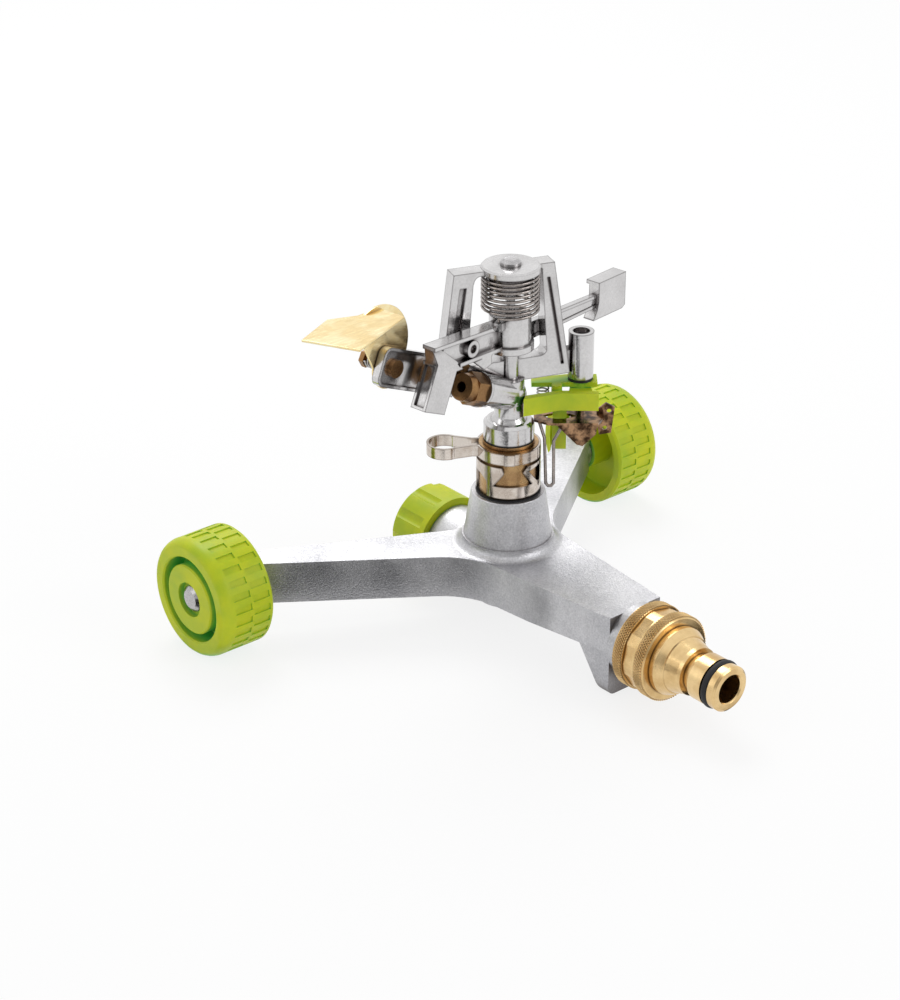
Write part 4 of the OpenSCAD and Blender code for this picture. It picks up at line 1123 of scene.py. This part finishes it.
@dataclass
class Bearing(SubAssembly):
    """The bearing's tube and rings with the stop collars."""

    def finish(self, dresser: Dresser) -> None:
        """Dresses the bearing and the collars."""
        dresser.dress(self.palette.brass_z, "bearing_tube", "bearing_stem", "bearing_ring")
        dresser.dress(self.palette.rubber, "sleeve_washer")
        dresser.dress(self.palette.nylon, "thrust_washer")
        dresser.dress(self.palette.strip, "upper_collar", "lower_collar")


@dataclass
class ImpactHead(SubAssembly):
    """The cast head with its arm, nozzle and spring.

    Args:
        rounding: rounding of the castings' edges.
        spring: the arm's spring.
        spring_z: height of the spring's foot.
    """

    turns: ClassVar[float] = 8.375
    upper_end: ClassVar[float] = 152.0
    rounding: float = 0.35 * MM
    spring: Coil = Coil(
        9.25 * MM, 1.0 * MM, 14.4 * MM, turns, math.radians(upper_end - turns * 360.0), sides=12
    )
    spring_z: float = 112.7 * MM

    def build(self) -> None:
        """Builds the castings and the arm's spring."""
        body = softened("head_body", "cast_head", self.rounding, self.palette.plated)
        stand_for(body, "head", "chrome", "head_body")
        arm = softened("impact_arm", "cast_arm", self.rounding, self.palette.plated)
        stand_for(arm, "impact_arm", "chrome", "impact_arm")
        place = head_frame() @ Matrix.Translation((0.0, 0.0, self.spring_z))
        wire = self.spring.wound("arm_coil", place, self.palette.wire)
        stand_for(wire, "head", "steel", "arm_spring")

    def finish(self, dresser: Dresser) -> None:
        """Dresses the nozzle, the pin and the washer."""
        dresser.dress(self.palette.nozzle, "nozzle")
        dresser.dress(self.palette.dull_steel, "fulcrum_pin")
        dresser.dress(self.palette.nylon, "arm_washer")


@dataclass
class Diffuser(SubAssembly):
    """The gilt sheet over the jet, on its sprung screw.

    Args:
        rounding: rounding of the sheet's edges.
        coil_place: place of the spring's foot in the head's frame.
        coil: the screw's spring.
    """

    rounding: float = 0.22 * MM
    coil_place: Point = (46.062 * MM, -12.0 * MM, 105.231 * MM)
    coil: Coil = Coil(2.3 * MM, 0.7 * MM, 8.0 * MM, 6.0)

    def build(self) -> None:
        """Builds the sheet and the screw's spring."""
        sheet = softened("diffuser_paddle", "gilt_paddle", self.rounding, self.palette.gilt)
        stand_for(sheet, "diffuser", "gilt_sheet", "diffuser_paddle")
        foot = head_frame() @ Matrix.Translation(self.coil_place)
        place = foot @ Matrix.Rotation(math.pi / 2, 4, "X")
        wire = self.coil.wound("screw_coil", place, self.palette.dull_steel)
        stand_for(wire, "head", "steel", "diffuser_spring")

    def finish(self, dresser: Dresser) -> None:
        """Dresses the screw and the nut."""
        dresser.dress(self.palette.nozzle, "diffuser_screw", "diffuser_nut")


@dataclass
class TripGear(SubAssembly):
    """The green lever, the copper plate and the wire that meets the stops.

    Args:
        lever_round: rounding of the lever's edges.
        plate_round: rounding of the plate's edges.
        coil_place: place of the spring's foot in the trip gear's frame.
        coil: the lever's spring.
    """

    lever_round: float = 0.25 * MM
    plate_round: float = 0.15 * MM
    coil_place: Point = (11.4 * MM, 7.4 * MM, 79.3 * MM)
    coil: Coil = Coil(1.9 * MM, 0.6 * MM, 4.0 * MM, 2.5)

    def build(self) -> None:
        """Builds the lever with soft edges and its small spring."""
        lever = softened("trip_lever", "snap_lever", self.lever_round, self.palette.lime)
        stand_for(lever, "trip_lever", "green_plastic", "trip_lever")
        plate = softened("trip_hammer", "copper_plate", self.plate_round, self.palette.copper)
        stand_for(plate, "trip_hammer", "copper_sheet", "trip_hammer")
        place = trip_frame() @ Matrix.Translation(self.coil_place)
        wire = self.coil.wound("lever_coil", place, self.palette.dull_steel)
        stand_for(wire, "trip_lever", "steel", "trip_spring")

    def finish(self, dresser: Dresser) -> None:
        """Dresses the wire, the pin and the washer."""
        dresser.dress(self.palette.wire, "trip_wire", "trip_pin")
        dresser.dress(self.palette.rubber, "trip_washer")


# Stage


@dataclass(frozen=True)
class Card:
    """A plain card that only bright metal mirrors, as photographers use.

    Args:
        name: its name.
        tone: its grey.
        corners: for each, distance towards the camera, distance to the camera's right, height.
    """

    name: str
    tone: float
    corners: tuple[Point, ...]

    @classmethod
    def upright(
        cls, name: str, tone: float, start: Spot, end: Spot, foot: float, top: float
    ) -> Card:
        """Makes a card that stands between two spots."""
        return cls(name, tone, ((*start, foot), (*end, foot), (*end, top), (*start, top)))

    @classmethod
    def lying(cls, name: str, tone: float, height: float, *corners: Spot) -> Card:
        """Makes a card that lies just above the floor."""
        return cls(name, tone, tuple((*corner, height) for corner in corners))


@dataclass(frozen=True)
class Lamp:
    """A soft square lamp that looks at the object.

    Args:
        name: its name.
        place: its position.
        power: its power in watts.
        size: its side.
    """

    name: str
    place: Point
    power: float
    size: float = 0.6


@dataclass
class Studio:
    """The pale floor, the lamps, the cards and the camera.

    Args:
        azimuth: heading from the object to the camera, from -Y towards X.
        elevation: angle of the camera above the floor.
        distance: distance of the camera from its target.
        target: the point in the middle of the view.
        focal_px: focal length in the photograph's pixels.
        long_side_px: longer side of the photograph in pixels.
        sensor: longer side of the camera's sensor in millimetres.
        floor_half: half the floor's side.
        floor_tone: the floor's grey.
        floor_lift: share of plain white in the floor as it is seen.
        sky: colour of the light all round.
        cards: what the metal mirrors.
        lamps: the lamps.
    """

    azimuth: float = math.radians(-40.33)
    elevation: float = math.radians(26.88)
    distance: float = 0.8463
    target: Point = (-0.0257, 0.0187, 0.0524)
    focal_px: float = 2560.2
    long_side_px: float = 1000.0
    sensor: float = 36.0
    floor_half: float = 3.0
    floor_tone: float = 0.93
    floor_lift: float = 0.82
    sky: Colour = (0.6, 0.6, 0.605)
    cards: tuple[Card, ...] = (
        Card.upright("front_card", 0.5, (1.4, -1.1), (1.4, 1.2), 0.0, 1.0),
        Card.upright("left_strip", 0.02, (0.85, -0.95), (0.65, -1.1), 0.0, 0.9),
        Card.upright("right_strip", 0.02, (0.8, 0.95), (0.6, 1.1), 0.0, 0.9),
        Card.lying("table_card", 0.95, 0.0006, (0.09, -0.5), (0.13, 0.6), (1.4, 1.2), (1.4, -1.1)),
        Card.upright("near_card", 0.02, (0.04, -0.3), (0.04, 0.003), 0.0008, 0.022),
        Card.lying(
            "side_card", 0.03, 0.0008, (0.068, 0.064), (0.013, 0.13), (0.03, 0.147), (0.085, 0.08)
        ),
        Card.lying(
            "far_card", 0.06, 0.0008, (0.14, -0.3), (0.14, -0.01), (0.2, -0.01), (0.2, -0.3)
        ),
    )
    lamps: tuple[Lamp, ...] = (
        Lamp("back_light", (0.27, 0.642, 0.97), 5.6),
        Lamp("left_light", (-1.0, 0.25, 0.55), 1.0),
        Lamp("right_light", (0.42, -0.99, 0.65), 3.2),
    )

    def camera(self) -> None:
        """Sets the camera at the photograph's viewing angle."""
        data = bpy.data.cameras.new("view")
        data.sensor_width = self.sensor
        data.lens = self.sensor * self.focal_px / self.long_side_px
        data.clip_start, data.clip_end = 0.01, 20.0
        cam = link(bpy.data.objects.new("view", data))
        side, front = math.cos(self.azimuth), math.sin(self.azimuth)
        level = math.cos(self.elevation)
        back = Vector((front * level, -side * level, math.sin(self.elevation)))
        cam.location = Vector(self.target) + back * self.distance
        cam.rotation_mode = "QUATERNION"
        cam.rotation_quaternion = (-back).to_track_quat("-Z", "Y")
        bpy.context.scene.camera = cam

    def floor(self) -> None:
        """Lays the pale floor, bright to the camera but with the object's shadow."""
        signs = ((-1, -1), (1, -1), (1, 1), (-1, 1))
        corners = [(x * self.floor_half, y * self.floor_half, 0.0) for x, y in signs]
        floor = mesh_object("floor", corners, [range(len(corners))])
        made = bpy.data.materials.new("pale_floor")
        canvas = cleared(made)
        matt = canvas.node("ShaderNodeBsdfDiffuse", {"Color": rgba((self.floor_tone,) * 3)})
        glow = canvas.node("ShaderNodeEmission", {"Color": rgba(WHITE), "Strength": 1.0})
        factor = canvas.maths("MULTIPLY", self.seen(canvas), self.floor_lift)
        mix = {0: factor, 1: matt.outputs[0], 2: glow.outputs[0]}
        lift = canvas.node("ShaderNodeMixShader", mix)
        canvas.node("ShaderNodeOutputMaterial", {"Surface": lift.outputs[0]})
        floor.data.materials.append(made)

    def seen(self, canvas: Canvas) -> Socket:
        """Marks the rays that show the background, straight or by way of metal or glass.

        Args:
            canvas: the canvas of the floor's material or of the world.

        Returns:
            A mask that is 1 for those rays.
        """
        rays = canvas.node("ShaderNodeLightPath").outputs
        mirrored = canvas.maths("MAXIMUM", rays["Is Glossy Ray"], rays["Is Transmission Ray"])
        return canvas.maths("MAXIMUM", rays["Is Camera Ray"], mirrored)

    def world(self) -> None:
        """Surrounds the scene with plain light, white where it is seen."""
        made = bpy.data.worlds.new("studio")
        bpy.context.scene.world = made
        canvas = cleared(made)
        shown = canvas.blend(self.seen(canvas), rgba(self.sky), rgba(WHITE))
        back = canvas.node("ShaderNodeBackground", {"Color": shown, "Strength": 1.0})
        canvas.node("ShaderNodeOutputWorld", {"Surface": back.outputs[0]})

    def stand(self, shape: Card) -> None:
        """Places a card where only mirroring metal shows it.

        Args:
            shape: the card's shape and tone.
        """
        ahead = Vector((math.sin(self.azimuth), -math.cos(self.azimuth), 0.0))
        right = Vector((math.cos(self.azimuth), math.sin(self.azimuth), 0.0))
        centre = Vector((0.0, ORIGIN_Y, 0.0))
        places = [
            centre + ahead * near + right * side + Vector((0.0, 0.0, height))
            for near, side, height in shape.corners
        ]
        card = mesh_object(shape.name, places, [range(len(places))])
        made = bpy.data.materials.new(shape.name)
        canvas = cleared(made)
        inputs = {"Color": rgba((shape.tone,) * 3), "Strength": 1.0}
        glow = canvas.node("ShaderNodeEmission", inputs)
        canvas.node("ShaderNodeOutputMaterial", {"Surface": glow.outputs[0]})
        card.data.materials.append(made)
        card.visible_camera = card.visible_diffuse = False
        card.visible_shadow = card.visible_transmission = False

    def hang(self, lamp: Lamp) -> None:
        """Hangs a lamp.

        Args:
            lamp: the lamp.
        """
        data = bpy.data.lights.new(lamp.name, "AREA")
        data.size, data.energy = lamp.size, lamp.power
        hung = link(bpy.data.objects.new(lamp.name, data))
        hung.location = lamp.place
        hung.rotation_mode = "QUATERNION"
        aim = Vector(self.target) - Vector(lamp.place)
        hung.rotation_quaternion = aim.to_track_quat("-Z", "Y")

    def build(self) -> None:
        """Builds the stage."""
        self.camera()
        self.floor()
        self.world()
        for card in self.cards:
            self.stand(card)
        for lamp in self.lamps:
            self.hang(lamp)


def main() -> None:
    """Builds the sprinkler's pieces in order."""
    logging.basicConfig(level=logging.INFO, format="%(name)s: %(message)s")
    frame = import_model()
    bpy.context.view_layer.update()
    Studio().build()
    palette = Palette()
    dresser = Dresser(frame["nodes"])
    for kind in (CastBase, Wheels, HoseConnector, Bearing, ImpactHead, Diffuser, TripGear):
        part = kind(palette)
        part.build()
        part.finish(dresser)
        log.info("%s is complete", kind.__name__)
    bpy.context.scene.view_settings.view_transform = "Standard"
    bpy.context.view_layer.update()
    log.info("the model is complete")


if __name__ == "__main__":
    main()
